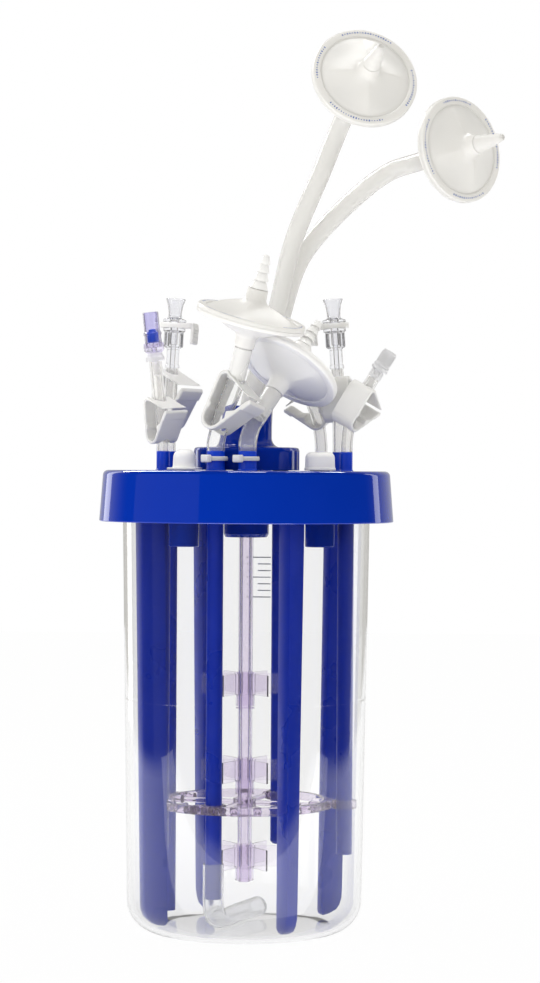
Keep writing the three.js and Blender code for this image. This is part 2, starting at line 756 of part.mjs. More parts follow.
const clamps = {
  pinch_clamp_1: { line: 'line_1', rise: 29, lever: -54 },
  pinch_clamp_2: { line: 'line_2', rise: 42, lever: -50, scale: longClamp },
  pinch_clamp_3: { line: 'line_3', rise: 38, lever: -34, scale: longClamp },
  pinch_clamp_4: { line: 'line_5', rise: 37.5, lever: 53 },
  pinch_clamp_5: { line: 'line_6', rise: 42, lever: 70 },
  pinch_clamp_6: { line: 'line_7', rise: 38, lever: 165 },
};

// The share of a line's length at which it reaches a height above the head plate.
function shareAt(path, rise) {
  const samples = 200;
  for (let i = 0; i <= samples; i++) {
    if (path.getPointAt(i / samples).z >= plateTop + rise) return i / samples;
  }
  return 1;
}

function addClamp(name, { line, rise, lever, scale = 1 }) {
  const { path, size, steps } = lines[line];
  const at = shareAt(path, rise);
  const up = path.getTangentAt(at);
  const towards = point(Math.cos(degrees(lever)), Math.sin(degrees(lever)), 0);
  const across = up.clone().cross(towards).normalize();
  const out = across.clone().cross(up).normalize();
  const placed = new THREE.Matrix4().makeBasis(out, across, up).setPosition(path.getPointAt(at));
  const passage = pipe(path, size.radius + seatGap, 0, steps, size.sides);
  addSolid(name, cut(toSolid(makeClamp(scale).applyMatrix4(placed)), passage), whitePlastic);
}

// ---- fittings on the ends of the small lines ---------------------------------------------------------
const tailRadius = smallLine.bore - seatGap;

function fittingGroup(line) {
  const { path } = lines[line];
  const group = new THREE.Group();
  group.position.copy(path.getPointAt(1));
  group.quaternion.setFromUnitVectors(point(0, 0, 1), path.getTangentAt(1));
  assembly.add(group);
  return group;
}

// Needle-free valve: a clear violet barrel with a blue piston behind its open mouth.
function addValve(line) {
  const group = fittingGroup(line);
  const body = turned([
    [0, -tailLength], [tailRadius - 0.4, -tailLength], [tailRadius, 0], [tailRadius, seatGap],
    [5.3, seatGap], [5.3, 3], [4.2, 4], [4.2, 5], [5.9, 6], [5.9, 8.5], [4.7, 11], [4.7, 15],
    [5.2, 15.5], [5.2, 16.8], [4.5, 17.2], [4.5, 28.5], [3.5, 28.5], [3.5, valveFloor], [0, valveFloor],
  ], 12);
  const drilled = cut(toSolid(body), rod(tailBoreRadius, -tailLength - 1, valveFloor + 1, 6));
  addSolid('valve_body', drilled, violetPlastic, group);
  const foot = valveFloor + seatGap + pistonTravel;
  const piston = turned([
    [0, foot], [3.2, foot], [3.2, foot + 5], [2.1, foot + 6], [2.1, foot + 7.5], [0, foot + 7.5],
  ], 12);
  addPiece('valve_piston', piston, deepBluePlastic, group);
}

// Quick coupling: a clear socket with a flared mouth and a white thumb latch in its groove.
function addCoupling(number, line, side) {
  const group = fittingGroup(line);
  const neck = 3.1;
  const grooveFoot = 23.6;
  const grooveTop = 27.2;
  const body = turned([
    [0, -tailLength], [tailRadius - 0.4, -tailLength], [tailRadius, 0], [tailRadius, seatGap],
    [4.2, seatGap], [4.2, 12], [5.6, 12.8], [5.6, 21.5], [6.6, 22.2], [6.6, grooveFoot], [neck, grooveFoot],
    [neck, grooveTop], [6.8, grooveTop], [6.8, 29], [3.8, 29.7], [3.9, 31],
    [couplingMouth.radius, couplingMouth.top], [couplingMouth.radius - couplingMouth.wall, couplingMouth.top],
    [3.1, 31], [1.6, 27.5], [1.6, 14], [0, 14],
  ], 12);
  const drilled = cut(toSolid(body), rod(tailBoreRadius, -tailLength - 1, 15, 6));
  addSolid(`coupling_${number}_body`, drilled, clearPlastic, group);
  const plate = new THREE.Shape();
  plate.moveTo(-8, -4.5);
  plate.lineTo(12.5, -4.5);
  plate.lineTo(12.5, 4.5);
  plate.lineTo(-8, 4.5);
  const slot = new THREE.Path();
  const slotRadius = neck + seatGap + 0.1;
  slot.absarc(latchTravel, 0, slotRadius, -Math.PI / 2, Math.PI / 2, false);
  slot.absarc(0, 0, slotRadius, Math.PI / 2, Math.PI * 1.5, false);
  plate.holes.push(slot);
  const latchFoot = grooveFoot + seatGap;
  const thickness = grooveTop - grooveFoot - 2 * seatGap;
  const slider = new THREE.ExtrudeGeometry(plate, { depth: thickness, bevelEnabled: false, curveSegments: 6 })
    .translate(0, 0, latchFoot);
  const thumb = new THREE.BoxGeometry(1.8, 9, 12).translate(12.5, 0, latchFoot + thickness - 6);
  const latch = join(slider, thumb);
  const mesh = addSolid(`coupling_${number}_latch`, latch, whitePlastic, group);
  mesh.rotation.z = degrees(side);
}

// Capped luer: a ribbed hub with a closed cap over its tip.
function addLuer(line) {
  const group = fittingGroup(line);
  const body = turned([
    [0, -tailLength], [tailRadius - 0.4, -tailLength], [tailRadius, 0], [tailRadius, seatGap],
    [3.9, seatGap], [3.9, 2], [3.1, 3.5], [3.1, 5], [5, 5.8], [5, 7.6], [2.6, 7.6], [2.1, 16], [0, 16],
  ], 12);
  addSolid('luer_body', cut(toSolid(body), rod(tailBoreRadius, -tailLength - 1, 17, 6)), frostPlastic, group);
  const cap = turned([
    [3, 7.6 + seatGap], [4.6, 7.6 + seatGap], [4.9, 9.2], [4.3, 10.4], [4.3, 17.5], [3.7, 18.4], [0, 18.4],
    [0, 16.6], [2.9, 16.6], [3, 7.6 + seatGap],
  ], 12);
  addPiece('luer_cap', cap, frostPlastic, group);
}

function addLinePlug(line) {
  const group = fittingGroup(line);
  const plug = turned([
    [0, -tailLength], [tailRadius - 0.4, -tailLength], [tailRadius, 0], [tailRadius, seatGap],
    [4.6, seatGap], [4.6, 2], [2.8, 2.6], [2.8, 9], [0, 9.6],
  ], 12);
  addPiece('line_plug', plug, whitePlastic, group);
}

// ---- assembly ----------------------------------------------------------------------------------------
addPiece('vessel', makeVessel(), clearPlastic);
addSolid('head_plate', makeHeadPlate(), bluePlastic);
addPiece('drive_housing', makeDriveHousing(), bluePlastic);
addPiece('shaft_bearing', makeShaftBearing(), bearingPlastic);
addPiece('drive_hub', makeDriveHub(), bearingPlastic);
addPiece('stirrer_shaft', makeShaft(), violetPlastic);
for (const [name, height] of Object.entries(impellerHeights)) {
  addSolid(name, makeImpeller(), violetPlastic).position.z = height;
}
baffleAngles.forEach((angle, i) => {
  addPiece(`baffle_${i + 1}`, makeBaffle(), bluePlastic).rotation.z = degrees(angle);
});
for (const [name, { port, foot }] of Object.entries(dipTubes)) {
  addPiece(name, sleeve(dipRadius, dipBoreRadius, foot, dipTop), bluePlastic).position.set(port.x, port.y, 0);
}
addPiece('thermowell', makeThermowell(), bluePlastic).position.set(thermowell.x, thermowell.y, 0);
addSolid('sparge_hose', makeSpargeHose(), frostPlastic);
addSolid('tie_ring', makeTieRing(), violetPlastic);
const leftPlug = addPiece('sensor_plug_left', makeSensorPlug(10, 11.7, 6.7, 1.6), whitePlastic);
leftPlug.position.set(sensorPorts.sensor_plug_left.x, sensorPorts.sensor_plug_left.y, 0);
const rightPlug = addPiece('sensor_plug_right', makeSensorPlug(9, 10.5, 8.6, 1.5), whitePlastic);
rightPlug.position.set(sensorPorts.sensor_plug_right.x, sensorPorts.sensor_plug_right.y, 0);
for (const [name, entry] of Object.entries(filters)) addFilter(name, entry);
for (const [name, { path, size, steps }] of Object.entries(lines)) {
  addPiece(name, pipe(path, size.radius, size.bore, steps, size.sides), softTubing);
}
addSolid('zip_tie_1', makeZipTie(ports.line_3), whitePlastic);
addSolid('zip_tie_2', makeZipTie(ports.line_4), whitePlastic);
for (const [name, entry] of Object.entries(clamps)) addClamp(name, entry);
addValve('line_1');
addCoupling(1, 'line_2', -20);
addCoupling(2, 'line_6', 162);
addLuer('line_5');
addLinePlug('line_7');

export default assembly;
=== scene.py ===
import math

import bmesh
import bpy
import numpy as np
from mathutils import Matrix, Vector


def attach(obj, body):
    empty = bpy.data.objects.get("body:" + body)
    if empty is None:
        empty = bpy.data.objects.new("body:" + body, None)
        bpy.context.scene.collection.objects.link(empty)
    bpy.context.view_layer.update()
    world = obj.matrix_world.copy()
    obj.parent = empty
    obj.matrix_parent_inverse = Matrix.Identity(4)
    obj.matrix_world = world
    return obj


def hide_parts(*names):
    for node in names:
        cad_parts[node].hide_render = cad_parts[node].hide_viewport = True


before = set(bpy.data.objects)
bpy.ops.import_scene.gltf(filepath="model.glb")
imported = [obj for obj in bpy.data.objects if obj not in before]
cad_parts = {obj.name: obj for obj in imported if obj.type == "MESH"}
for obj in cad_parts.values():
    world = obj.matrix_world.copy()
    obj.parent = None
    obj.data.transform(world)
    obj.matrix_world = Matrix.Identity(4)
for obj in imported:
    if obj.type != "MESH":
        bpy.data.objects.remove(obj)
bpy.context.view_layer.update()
scene = bpy.context.scene
mm = 0.001  # shapes below are drawn in millimetres and made in metres
up = Vector((0, 0, 1))
print("frame loaded:", len(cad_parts), "nodes")


def at(x, y, z=0):
    return Matrix.Translation((x, y, z))


def spun(angle, axis="Z"):
    return Matrix.Rotation(math.radians(angle), 4, axis)


# camera, at the height of the head plate and turned a hair right and down
camera = {"distance": 1620, "height": 265.6, "right": 0.482, "down": 0.40, "roll": 0.34, "lens": 68.2, "film": 24,
          "farthest": 20}
cameraData = bpy.data.cameras.new("camera")
cameraData.sensor_fit = "VERTICAL"
cameraData.sensor_height = camera["film"]
cameraData.lens = camera["lens"]
cameraData.clip_end = camera["farthest"]
cameraObject = bpy.data.objects.new("camera", cameraData)
cameraObject.matrix_world = (
    at(0, -camera["distance"] * mm, camera["height"] * mm)
    @ spun(-camera["right"]) @ spun(90 - camera["down"], "X") @ spun(camera["roll"])
)
scene.collection.objects.link(cameraObject)
scene.camera = cameraObject
scene.view_settings.view_transform = "Standard"


# soft studio light: "seen" lamps show as glints, and those without "lights" show as glints alone
def softbox(name, place, size, watts, aim=(0, 0, 0.3), tint=(1, 1, 1), seen=True, lights=True):
    lamp = bpy.data.lights.new(name, "AREA")
    lamp.shape = "RECTANGLE"
    lamp.size, lamp.size_y = size
    lamp.energy = watts
    lamp.color = tint
    holder = bpy.data.objects.new(name, lamp)
    holder.location = place
    holder.rotation_euler = (Vector(aim) - Vector(place)).to_track_quat("-Z", "Y").to_euler()
    holder.visible_camera = False
    holder.visible_transmission = False
    holder.visible_glossy = seen
    holder.visible_diffuse = lights
    scene.collection.objects.link(holder)


studio = {
    "leftKey": {"place": (-1.5, -1.2, 0.75), "size": (0.5, 1.3), "watts": 0.9, "tint": (1, 0.985, 0.955),
                "seen": False},
    "leftCard": {"place": (-1.75, -0.75, 0.4), "size": (2.2, 1.5), "watts": 2.0},
    "lowLeft": {"place": (-0.7, -0.75, 0.05), "aim": (0, 0, 0.35), "size": (0.6, 0.6), "watts": 4, "seen": False},
    "rightFill": {"place": (1.6, -1.0, 0.6), "size": (0.5, 1.2), "watts": 1.8, "tint": (1, 0.99, 0.97),
                  "seen": False},
    "leftRim": {"place": (-0.83, 0.96, 0.35), "size": (0.3, 1.2), "watts": 2.2},
    "rightRim": {"place": (1.08, 0.66, 0.35), "size": (0.2, 1.2), "watts": 1.6},
    "overhead": {"place": (0, 0.03, 1.5), "aim": (0, 0, 0.27), "size": (0.35, 0.12), "watts": 6, "lights": False},
    "glintLeft": {"place": (-0.5, 0.6, 1.12), "aim": (0, 0, 0.27), "size": (0.18, 0.75), "watts": 11,
                  "lights": False},
    "glintRight": {"place": (0.42, 0.42, 1.3), "aim": (0, 0, 0.27), "size": (0.16, 0.6), "watts": 8,
                   "lights": False},
    "ceiling": {"place": (0, 0.1, 1.6), "size": (0.8, 0.6), "watts": 3.5, "seen": False},
    "tableCard": {"place": (0, -0.2, 0.004), "aim": (0, -0.2, 1), "size": (1.7, 0.2), "watts": 2.2},
}
for label, lampFacts in studio.items():
    softbox(label, **lampFacts)


# one node, with its settings and what goes into its sockets: a plain value, or another node's socket
def put(tree, kind, values=None, **settings):
    made = tree.nodes.new(kind)
    for label, value in settings.items():
        setattr(made, label, value)
    for label, value in (values or {}).items():
        if isinstance(value, bpy.types.NodeSocket):
            tree.links.new(value, made.inputs[label])
        else:
            made.inputs[label].default_value = value
    return made


def mathOn(tree, operation, first, second=0, clamp=False):
    return put(tree, "ShaderNodeMath", {0: first, 1: second}, operation=operation, use_clamp=clamp).outputs[0]


def axesOf(tree, kind):
    return put(tree, "ShaderNodeSeparateXYZ", {0: put(tree, "ShaderNodeTexCoord").outputs[kind]}).outputs


def ranged(tree, value, low, high, first=0.0, last=1.0, curve="SMOOTHSTEP"):
    values = {"Value": value, "From Min": low, "From Max": high, "To Min": first, "To Max": last}
    return put(tree, "ShaderNodeMapRange", values, interpolation_type=curve).outputs["Result"]


def mixed(tree, share, first, second):
    return put(tree, "ShaderNodeMix", {"Factor": share, "A": first, "B": second}).outputs["Result"]


def mixedColour(tree, share, first, second):
    return put(tree, "ShaderNodeMix", {"Factor": share, 6: first, 7: second}, data_type="RGBA").outputs[2]


def mixedShader(tree, share, first, second):
    return put(tree, "ShaderNodeMixShader", {"Fac": share, 1: first, 2: second}).outputs[0]


# what the eye sees straight or through clear parts, and what a glossy face mirrors
def rayKinds(tree):
    rays = put(tree, "ShaderNodeLightPath").outputs
    scattered = mathOn(tree, "GREATER_THAN", rays["Diffuse Depth"], 0.5)
    mirrored = mathOn(tree, "GREATER_THAN", rays["Glossy Depth"], 0.5)
    bounced = mathOn(tree, "ADD", scattered, mirrored, True)
    through = mathOn(tree, "SUBTRACT", rays["Is Transmission Ray"], bounced, True)
    eye = mathOn(tree, "MAXIMUM", rays["Is Camera Ray"], through)
    gloss = mathOn(tree, "SUBTRACT", mathOn(tree, "MAXIMUM", rays["Is Glossy Ray"], mirrored), scattered, True)
    return eye, gloss


# world: white behind everything, dimmer for the light that falls on the object, dark in front for its mirror
def buildWorld():
    sky = {"white": 1.0, "light": 0.86, "tint": (1, 0.985, 0.945, 1), "plain": (1, 1, 1, 1),
           "glossFront": 0.03, "glossBack": 0.62, "front": 0.3, "back": 0.9}
    world = bpy.data.worlds.new("studioWorld")
    scene.world = world
    world.use_nodes = True
    tree = world.node_tree
    tree.nodes.clear()
    eye, gloss = rayKinds(tree)
    depth = axesOf(tree, "Generated")["Y"]
    mirror = ranged(tree, depth, sky["front"], sky["back"], sky["glossFront"], sky["glossBack"])
    level = mixed(tree, gloss, sky["light"], mirror)
    glow = put(tree, "ShaderNodeBackground", {
        "Color": mixedColour(tree, eye, sky["tint"], sky["plain"]),
        "Strength": mixed(tree, eye, level, sky["white"])})
    put(tree, "ShaderNodeOutputWorld", {"Surface": glow.outputs[0]})


buildWorld()
finishes = {}


def newMaterial(name):
    made = bpy.data.materials.new(name)
    made.use_nodes = True
    made.node_tree.nodes.clear()
    finishes[name] = made
    return made.node_tree


# a moulded plastic: slow flow marks in its colour and gloss, and the fine grain of the mould in its relief
def moulded(name, colour, rough, spread, mottle, grain, bump, flow, sockets=None):
    tree = newMaterial(name)
    place = put(tree, "ShaderNodeTexCoord").outputs["Object"]
    cloud = put(tree, "ShaderNodeTexNoise", {"Vector": place, "Scale": flow, "Detail": 3}).outputs["Fac"]
    light = [min(1.0, c * (1 + mottle) + mottle * 0.01) for c in colour]
    dark = [c * (1 - mottle) for c in colour]
    values = {
        "Base Color": mixedColour(tree, cloud, (*dark, 1), (*light, 1)),
        "Roughness": ranged(tree, cloud, 0.3, 0.7, max(0.0, rough - spread), rough + spread, "LINEAR"),
        **(sockets or {}),
    }
    shadow = values.pop("shadow", None)
    if bump:
        fine = put(tree, "ShaderNodeTexNoise", {"Vector": place, "Scale": grain, "Detail": 2}).outputs["Fac"]
        relief = put(tree, "ShaderNodeBump", {"Strength": bump, "Distance": 0.0002, "Height": fine})
        values["Normal"] = relief.outputs["Normal"]
    result = put(tree, "ShaderNodeBsdfPrincipled", values).outputs[0]
    if shadow:  # lamps shine through clear walls, a little dimmed
        passing = put(tree, "ShaderNodeBsdfTransparent", {"Color": (*shadow, 1)}).outputs[0]
        result = mixedShader(tree, put(tree, "ShaderNodeLightPath").outputs["Is Shadow Ray"], result, passing)
    put(tree, "ShaderNodeOutputMaterial", {"Surface": result})


def clear(shadow, share, index):
    return {"shadow": shadow, "Transmission Weight": share, "IOR": index}


def waxy(share, depth):
    return {"Subsurface Weight": share, "Subsurface Scale": depth, "Subsurface Radius": (1, 0.96, 0.92), "IOR": 1.45,
            "Specular IOR Level": 0.28}


# colour, roughness, its spread, mottle, scale of the grain, relief, scale of the flow marks, other sockets
for label, facts in {
    "glossBlue": ((0.0, 0.022, 0.3), 0.045, 0.02, 0.05, 900, 0.01, 18, {"IOR": 1.5}),
    # stubBlue is a brighter copy of the lid's blue: painted light for the stubs, which lie in shade under their tubes
    "stubBlue": ((0.002, 0.05, 0.62), 0.25, 0.04, 0.05, 900, 0.02, 30, {"IOR": 1.45}),
    "satinBlue": ((0.0006, 0.022, 0.38), 0.3, 0.06, 0.09, 1300, 0.06, 30, {"IOR": 1.45}),
    "valveBlue": ((0.04, 0.11, 0.5), 0.25, 0.05, 0.05, 900, 0.03, 60, {"IOR": 1.45}),
    "vesselClear": ((0.995, 0.995, 0.994), 0.015, 0.01, 0.0, 600, 0.0, 12,
                    {**clear((0.94, 0.94, 0.95), 1.0, 1.45), "Specular IOR Level": 0.65}),
    "clearPart": ((0.94, 0.94, 0.955), 0.06, 0.03, 0.01, 900, 0.02, 60, clear((0.9, 0.9, 0.92), 0.98, 1.44)),
    "violetClear": ((0.93, 0.89, 0.96), 0.05, 0.02, 0.03, 900, 0.02, 60, clear((0.86, 0.83, 0.9), 0.96, 1.36)),
    "violetBlade": ((0.95, 0.925, 0.97), 0.05, 0.02, 0.03, 900, 0.02, 60, clear((0.92, 0.9, 0.94), 0.97, 1.24)),
    "violetHub": ((0.9, 0.855, 0.945), 0.05, 0.02, 0.03, 900, 0.02, 60, clear((0.92, 0.9, 0.94), 0.97, 1.09)),
    "violetRing": ((0.85, 0.79, 0.89), 0.06, 0.02, 0.03, 900, 0.02, 60, clear((0.8, 0.75, 0.85), 0.97, 1.4)),
    "violetDeep": ((0.8, 0.78, 0.965), 0.05, 0.03, 0.04, 900, 0.02, 60, clear((0.8, 0.78, 0.92), 1.0, 1.48)),
    "violetPale": ((0.84, 0.81, 0.93), 0.07, 0.03, 0.03, 900, 0.02, 60, clear((0.84, 0.8, 0.88), 0.95, 1.45)),
    "frosted": ((0.8, 0.8, 0.81), 0.34, 0.08, 0.02, 1300, 0.06, 60, clear((0.8, 0.8, 0.8), 0.6, 1.45)),
    "hoseClear": ((0.94, 0.945, 0.955), 0.12, 0.04, 0.02, 900, 0.04, 50, clear((0.88, 0.88, 0.89), 0.96, 1.38)),
    "tubing": ((0.985, 0.985, 0.98), 0.08, 0.03, 0.01, 900, 0.0, 40, clear((0.95, 0.95, 0.94), 0.94, 1.24)),
    "smallTubing": ((0.95, 0.945, 0.935), 0.12, 0.03, 0.01, 900, 0.0, 40, clear((0.93, 0.93, 0.92), 0.84, 1.28)),
    # milkyTubingPaintedLight: the tube end over a barb, partly the white barb seen through it and partly painted light
    # over the shade inside the tube
    "milkyTubingPaintedLight": ((0.9, 0.897, 0.886), 0.24, 0.05, 0.01, 900, 0.03, 40, clear((0.85, 0.85, 0.84), 0.3, 1.36)),
    "ventTubing": ((0.845, 0.84, 0.828), 0.16, 0.02, 0.01, 900, 0.0, 40, clear((0.75, 0.75, 0.74), 0.5, 1.3)),
    "whiteSoft": ((0.88, 0.876, 0.866), 0.36, 0.06, 0.02, 1200, 0.05, 40, waxy(0.25, 0.004)),
    # whiteDim is a darker copy of whiteSoft: painted shade for the filters that catch more light
    "whiteDim": ((0.735, 0.726, 0.706), 0.4, 0.06, 0.02, 1200, 0.05, 40, waxy(0.2, 0.004)),
    "whiteClamp": ((0.735, 0.732, 0.72), 0.4, 0.07, 0.03, 1500, 0.07, 60, waxy(0.2, 0.003)),
    "whiteBright": ((0.98, 0.975, 0.96), 0.36, 0.06, 0.01, 1200, 0.05, 40, waxy(0.25, 0.004)),
    "felt": ((0.9, 0.9, 0.89), 0.85, 0.05, 0.05, 2500, 0.3, 500),
    "bearing": ((0.55, 0.52, 0.46), 0.45, 0.05, 0.08, 1500, 0.08, 80),
    "printBlue": ((0.05, 0.12, 0.42), 0.5, 0.05, 0.1, 2500, 0.05, 400),
    "printGrey": ((0.45, 0.46, 0.49), 0.6, 0.05, 0.1, 2500, 0.05, 400),
}.items():
    moulded(label, *facts)


def tinted(finish, tint, factorOf):
    tree = finishes[finish].node_tree
    shader = next(item for item in tree.nodes if item.type == "BSDF_PRINCIPLED")
    plain = shader.inputs["Base Color"].links[0].from_socket
    tree.links.new(mixedColour(tree, factorOf(tree), plain, (*tint, 1)), shader.inputs["Base Color"])


def paintedShadeAtFoot(tree):  # painted shade: the clear wall turns grey towards its foot
    return ranged(tree, axesOf(tree, "Object")["Z"], 0.07, 0.0)


def atEdge(tree):  # a look along the wall goes through more of it
    facing = put(tree, "ShaderNodeLayerWeight", {"Blend": 0.5}).outputs["Facing"]
    return mathOn(tree, "POWER", facing, 2.5)


# painted shade: the vessel wall is tinted grey over its lowest 70 mm
tinted("vesselClear", (0.925, 0.925, 0.932), paintedShadeAtFoot)
for label, tint in {
    "clearPart": (0.6, 0.61, 0.7), "violetDeep": (0.3, 0.22, 0.75), "violetPale": (0.6, 0.52, 0.78),
    "violetClear": (0.7, 0.6, 0.84), "violetBlade": (0.72, 0.62, 0.86), "smallTubing": (0.74, 0.74, 0.76),
}.items():
    tinted(label, tint, atEdge)
print("finishes:", len(finishes))


# floor, pale, white to the eye, with the faint shadow of the object
def buildFloor():
    table = {"halfWidth": 0.95, "front": -0.41, "back": 3.0, "level": -0.0004, "fade": 0.08, "sideFade": 0.22,
             "cloth": (0.8, 0.8, 0.8, 1), "glow": 1.0, "glowShare": 0.975}
    front, side = table["front"], table["halfWidth"]
    corners = [(-side, front), (side, front), (side, table["back"]), (-side, table["back"])]
    mesh = bpy.data.meshes.new("floor")
    mesh.from_pydata([(x, y, table["level"]) for x, y in corners], [], [(0, 1, 2, 3)])
    floor = bpy.data.objects.new("floor", mesh)
    scene.collection.objects.link(floor)
    tree = newMaterial("floorPale")
    eye, gloss = rayKinds(tree)
    spot = axesOf(tree, "Object")
    ahead = ranged(tree, spot["Y"], front, front + table["fade"])
    beside = ranged(tree, mathOn(tree, "ABSOLUTE", spot["X"]), side, side - table["sideFade"])
    mirror = mathOn(tree, "MULTIPLY", ahead, beside)
    lost = mathOn(tree, "MULTIPLY", gloss, mathOn(tree, "SUBTRACT", 1.0, mirror), True)
    share = mathOn(tree, "MULTIPLY", mathOn(tree, "MAXIMUM", eye, gloss), table["glowShare"])
    cloth = put(tree, "ShaderNodeBsdfDiffuse", {"Color": table["cloth"]}).outputs[0]
    glow = put(tree, "ShaderNodeEmission", {"Strength": table["glow"]}).outputs[0]
    both = mixedShader(tree, share, cloth, glow)
    result = mixedShader(tree, lost, both, put(tree, "ShaderNodeBsdfTransparent").outputs[0])
    put(tree, "ShaderNodeOutputMaterial", {"Surface": result})
    mesh.materials.append(finishes["floorPale"])


buildFloor()


# shape tools
def shade(piece, sharp=38):
    mesh = piece.data
    mesh.polygons.foreach_set("use_smooth", [True] * len(mesh.polygons))
    mesh.set_sharp_from_angle(angle=math.radians(sharp))
    mesh.update()


def finishMesh(name, mesh, finish, sharp=38):
    piece = bpy.data.objects.new(name, mesh)
    scene.collection.objects.link(piece)
    if not mesh.materials:
        mesh.materials.append(finishes[finish])
    shade(piece, sharp)
    return piece


def dressed(mesh, finish):
    mesh.materials.append(finishes[finish])
    return mesh


def placed(mesh, place=None):
    if place is not None:
        mesh.transform(place)
    mesh.transform(Matrix.Scale(mm, 4))
    return mesh


def meshFrom(verts, faces, place=None):
    mesh = bpy.data.meshes.new("draft")
    mesh.from_pydata([tuple(v) for v in verts], [], faces)
    placed(mesh, place)
    work = bmesh.new()
    work.from_mesh(mesh)
    bmesh.ops.remove_doubles(work, verts=work.verts, dist=1e-7)
    bmesh.ops.recalc_face_normals(work, faces=work.faces)
    work.to_mesh(mesh)
    work.free()
    return mesh


def joined(name, meshes, finish, sharp=38):
    # one piece of several meshes: those without a finish of their own get the one given
    work = bmesh.new()
    slots = []
    for mesh in meshes:
        if not mesh.materials:
            dressed(mesh, finish)
        start = len(work.faces)
        work.from_mesh(mesh)
        work.faces.ensure_lookup_table()
        slots += [material for material in mesh.materials if material not in slots]
        own = [slots.index(material) for material in mesh.materials]
        for face in work.faces[start:]:
            face.material_index = own[min(face.material_index, len(own) - 1)]
        bpy.data.meshes.remove(mesh)
    result = bpy.data.meshes.new(name)
    work.to_mesh(result)
    work.free()
    for material in slots:
        result.materials.append(material)
    return finishMesh(name, result, finish, sharp)


def eased(points, radius, loop=False, steps=4, least=14):
    # an outline with its corners rounded, apart from those that turn less than the least angle
    corners = [np.array(p, float) for p in points]
    if radius <= 0:
        return corners
    out = []
    for i, corner in enumerate(corners):
        if not loop and i in (0, len(corners) - 1):
            out.append(corner)
            continue
        before = corners[i - 1] - corner
        after = corners[(i + 1) % len(corners)] - corner
        lengths = np.linalg.norm(before), np.linalg.norm(after)
        if min(lengths) < 1e-6:
            out.append(corner)
            continue
        ways = before / lengths[0], after / lengths[1]
        turn = math.pi - math.acos(float(np.clip(ways[0] @ ways[1], -1, 1)))
        if turn < math.radians(least):
            out.append(corner)
            continue
        reach = min(radius * math.tan(turn / 2), lengths[0] * 0.46, lengths[1] * 0.46)
        first, last = corner + ways[0] * reach, corner + ways[1] * reach
        for k in range(steps + 1):
            t = k / steps
            out.append((1 - t) ** 2 * first + 2 * t * (1 - t) * corner + t * t * last)
    return out


def braced(outline, loop, hold=0.4):
    # a ring close to each end of a long run keeps its shading flat
    out = []
    for i, point in enumerate(outline):
        out.append(point)
        if i == len(outline) - 1 and not loop:
            break
        after = outline[(i + 1) % len(outline)]
        span = np.linalg.norm(after - point)
        if span > 5 * hold:
            way = (after - point) / span
            out += [point + way * hold, after - way * hold]
    return out


def bow(x, z, radius, first, last, steps):
    # points along a round bend, from the first angle to the last
    angles = [math.radians(first + (last - first) * k / steps) for k in range(steps + 1)]
    return [(x + radius * math.cos(angle), z + radius * math.sin(angle)) for angle in angles]


def band(inner, outer, low, high):
    return [(inner, low), (outer, low), (outer, high), (inner, high)]


def turnedMesh(profile, sides=64, place=None, ease=0.4, loop=False):
    # [radius, height] points turned about Z
    outline = braced(eased(profile, ease, loop), loop)
    verts, faces, rings = [], [], []
    for r, z in outline:
        if r < 1e-4:
            rings.append([len(verts)])
            verts.append((0, 0, z))
        else:
            rings.append(list(range(len(verts), len(verts) + sides)))
            for k in range(sides):
                angle = math.tau * k / sides
                verts.append((r * math.cos(angle), r * math.sin(angle), z))
    pairs = list(zip(rings, rings[1:]))
    if loop:
        pairs.append((rings[-1], rings[0]))
    for low, high in pairs:
        for k in range(sides):
            n = (k + 1) % sides
            if len(low) == 1 and len(high) == 1:
                continue
            if len(low) == 1:
                faces.append((low[0], high[k], high[n]))
            elif len(high) == 1:
                faces.append((low[k], low[n], high[0]))
            else:
                faces.append((low[k], low[n], high[n], high[k]))
    return meshFrom(verts, faces, place)


def smoothPath(points, steps=10):
    # a curve through the points given, without loops where they stand unevenly
    given = [np.array(p, float) for p in points]
    ends = [2 * given[0] - given[1], *given, 2 * given[-1] - given[-2]]
    out = []
    for i in range(1, len(ends) - 2):
        p0, p1, p2, p3 = ends[i - 1 : i + 3]
        d1, d2, d3 = (max(np.linalg.norm(b - a) ** 0.5, 1e-4) for a, b in ((p0, p1), (p1, p2), (p2, p3)))
        t1 = ((p1 - p0) / d1 - (p2 - p0) / (d1 + d2) + (p2 - p1) / d2) * d2
        t2 = ((p2 - p1) / d2 - (p3 - p1) / (d2 + d3) + (p3 - p2) / d3) * d2
        for k in range(steps):
            t = k / steps
            out.append(p1 + t1 * t + (-3 * p1 + 3 * p2 - 2 * t1 - t2) * t * t + (2 * p1 - 2 * p2 + t1 + t2) * t**3)
    out.append(given[-1])
    return np.array(out)


def pathFrames(path):
    tangents = np.gradient(path, axis=0)
    tangents /= np.linalg.norm(tangents, axis=1)[:, None]
    side = np.cross(tangents[0], (0.31, 0.95, 0.05))  # any way that no path here starts along
    sides = []
    for tangent in tangents:
        side = side - tangent * (side @ tangent)
        side /= np.linalg.norm(side)
        sides.append(side)
    sides = np.array(sides)
    return sides, np.cross(tangents, sides)


def sleeve(rows, sides, start=0):
    # faces between rings of points that follow one another
    faces = []
    for i in range(rows - 1):
        low, high = start + i * sides, start + (i + 1) * sides
        for k in range(sides):
            n = (k + 1) % sides
            faces.append((low + k, low + n, high + n, high + k))
    return faces


def capped(rows, sides):
    last = (rows - 1) * sides
    return [*sleeve(rows, sides), tuple(reversed(range(sides))), tuple(last + k for k in range(sides))]


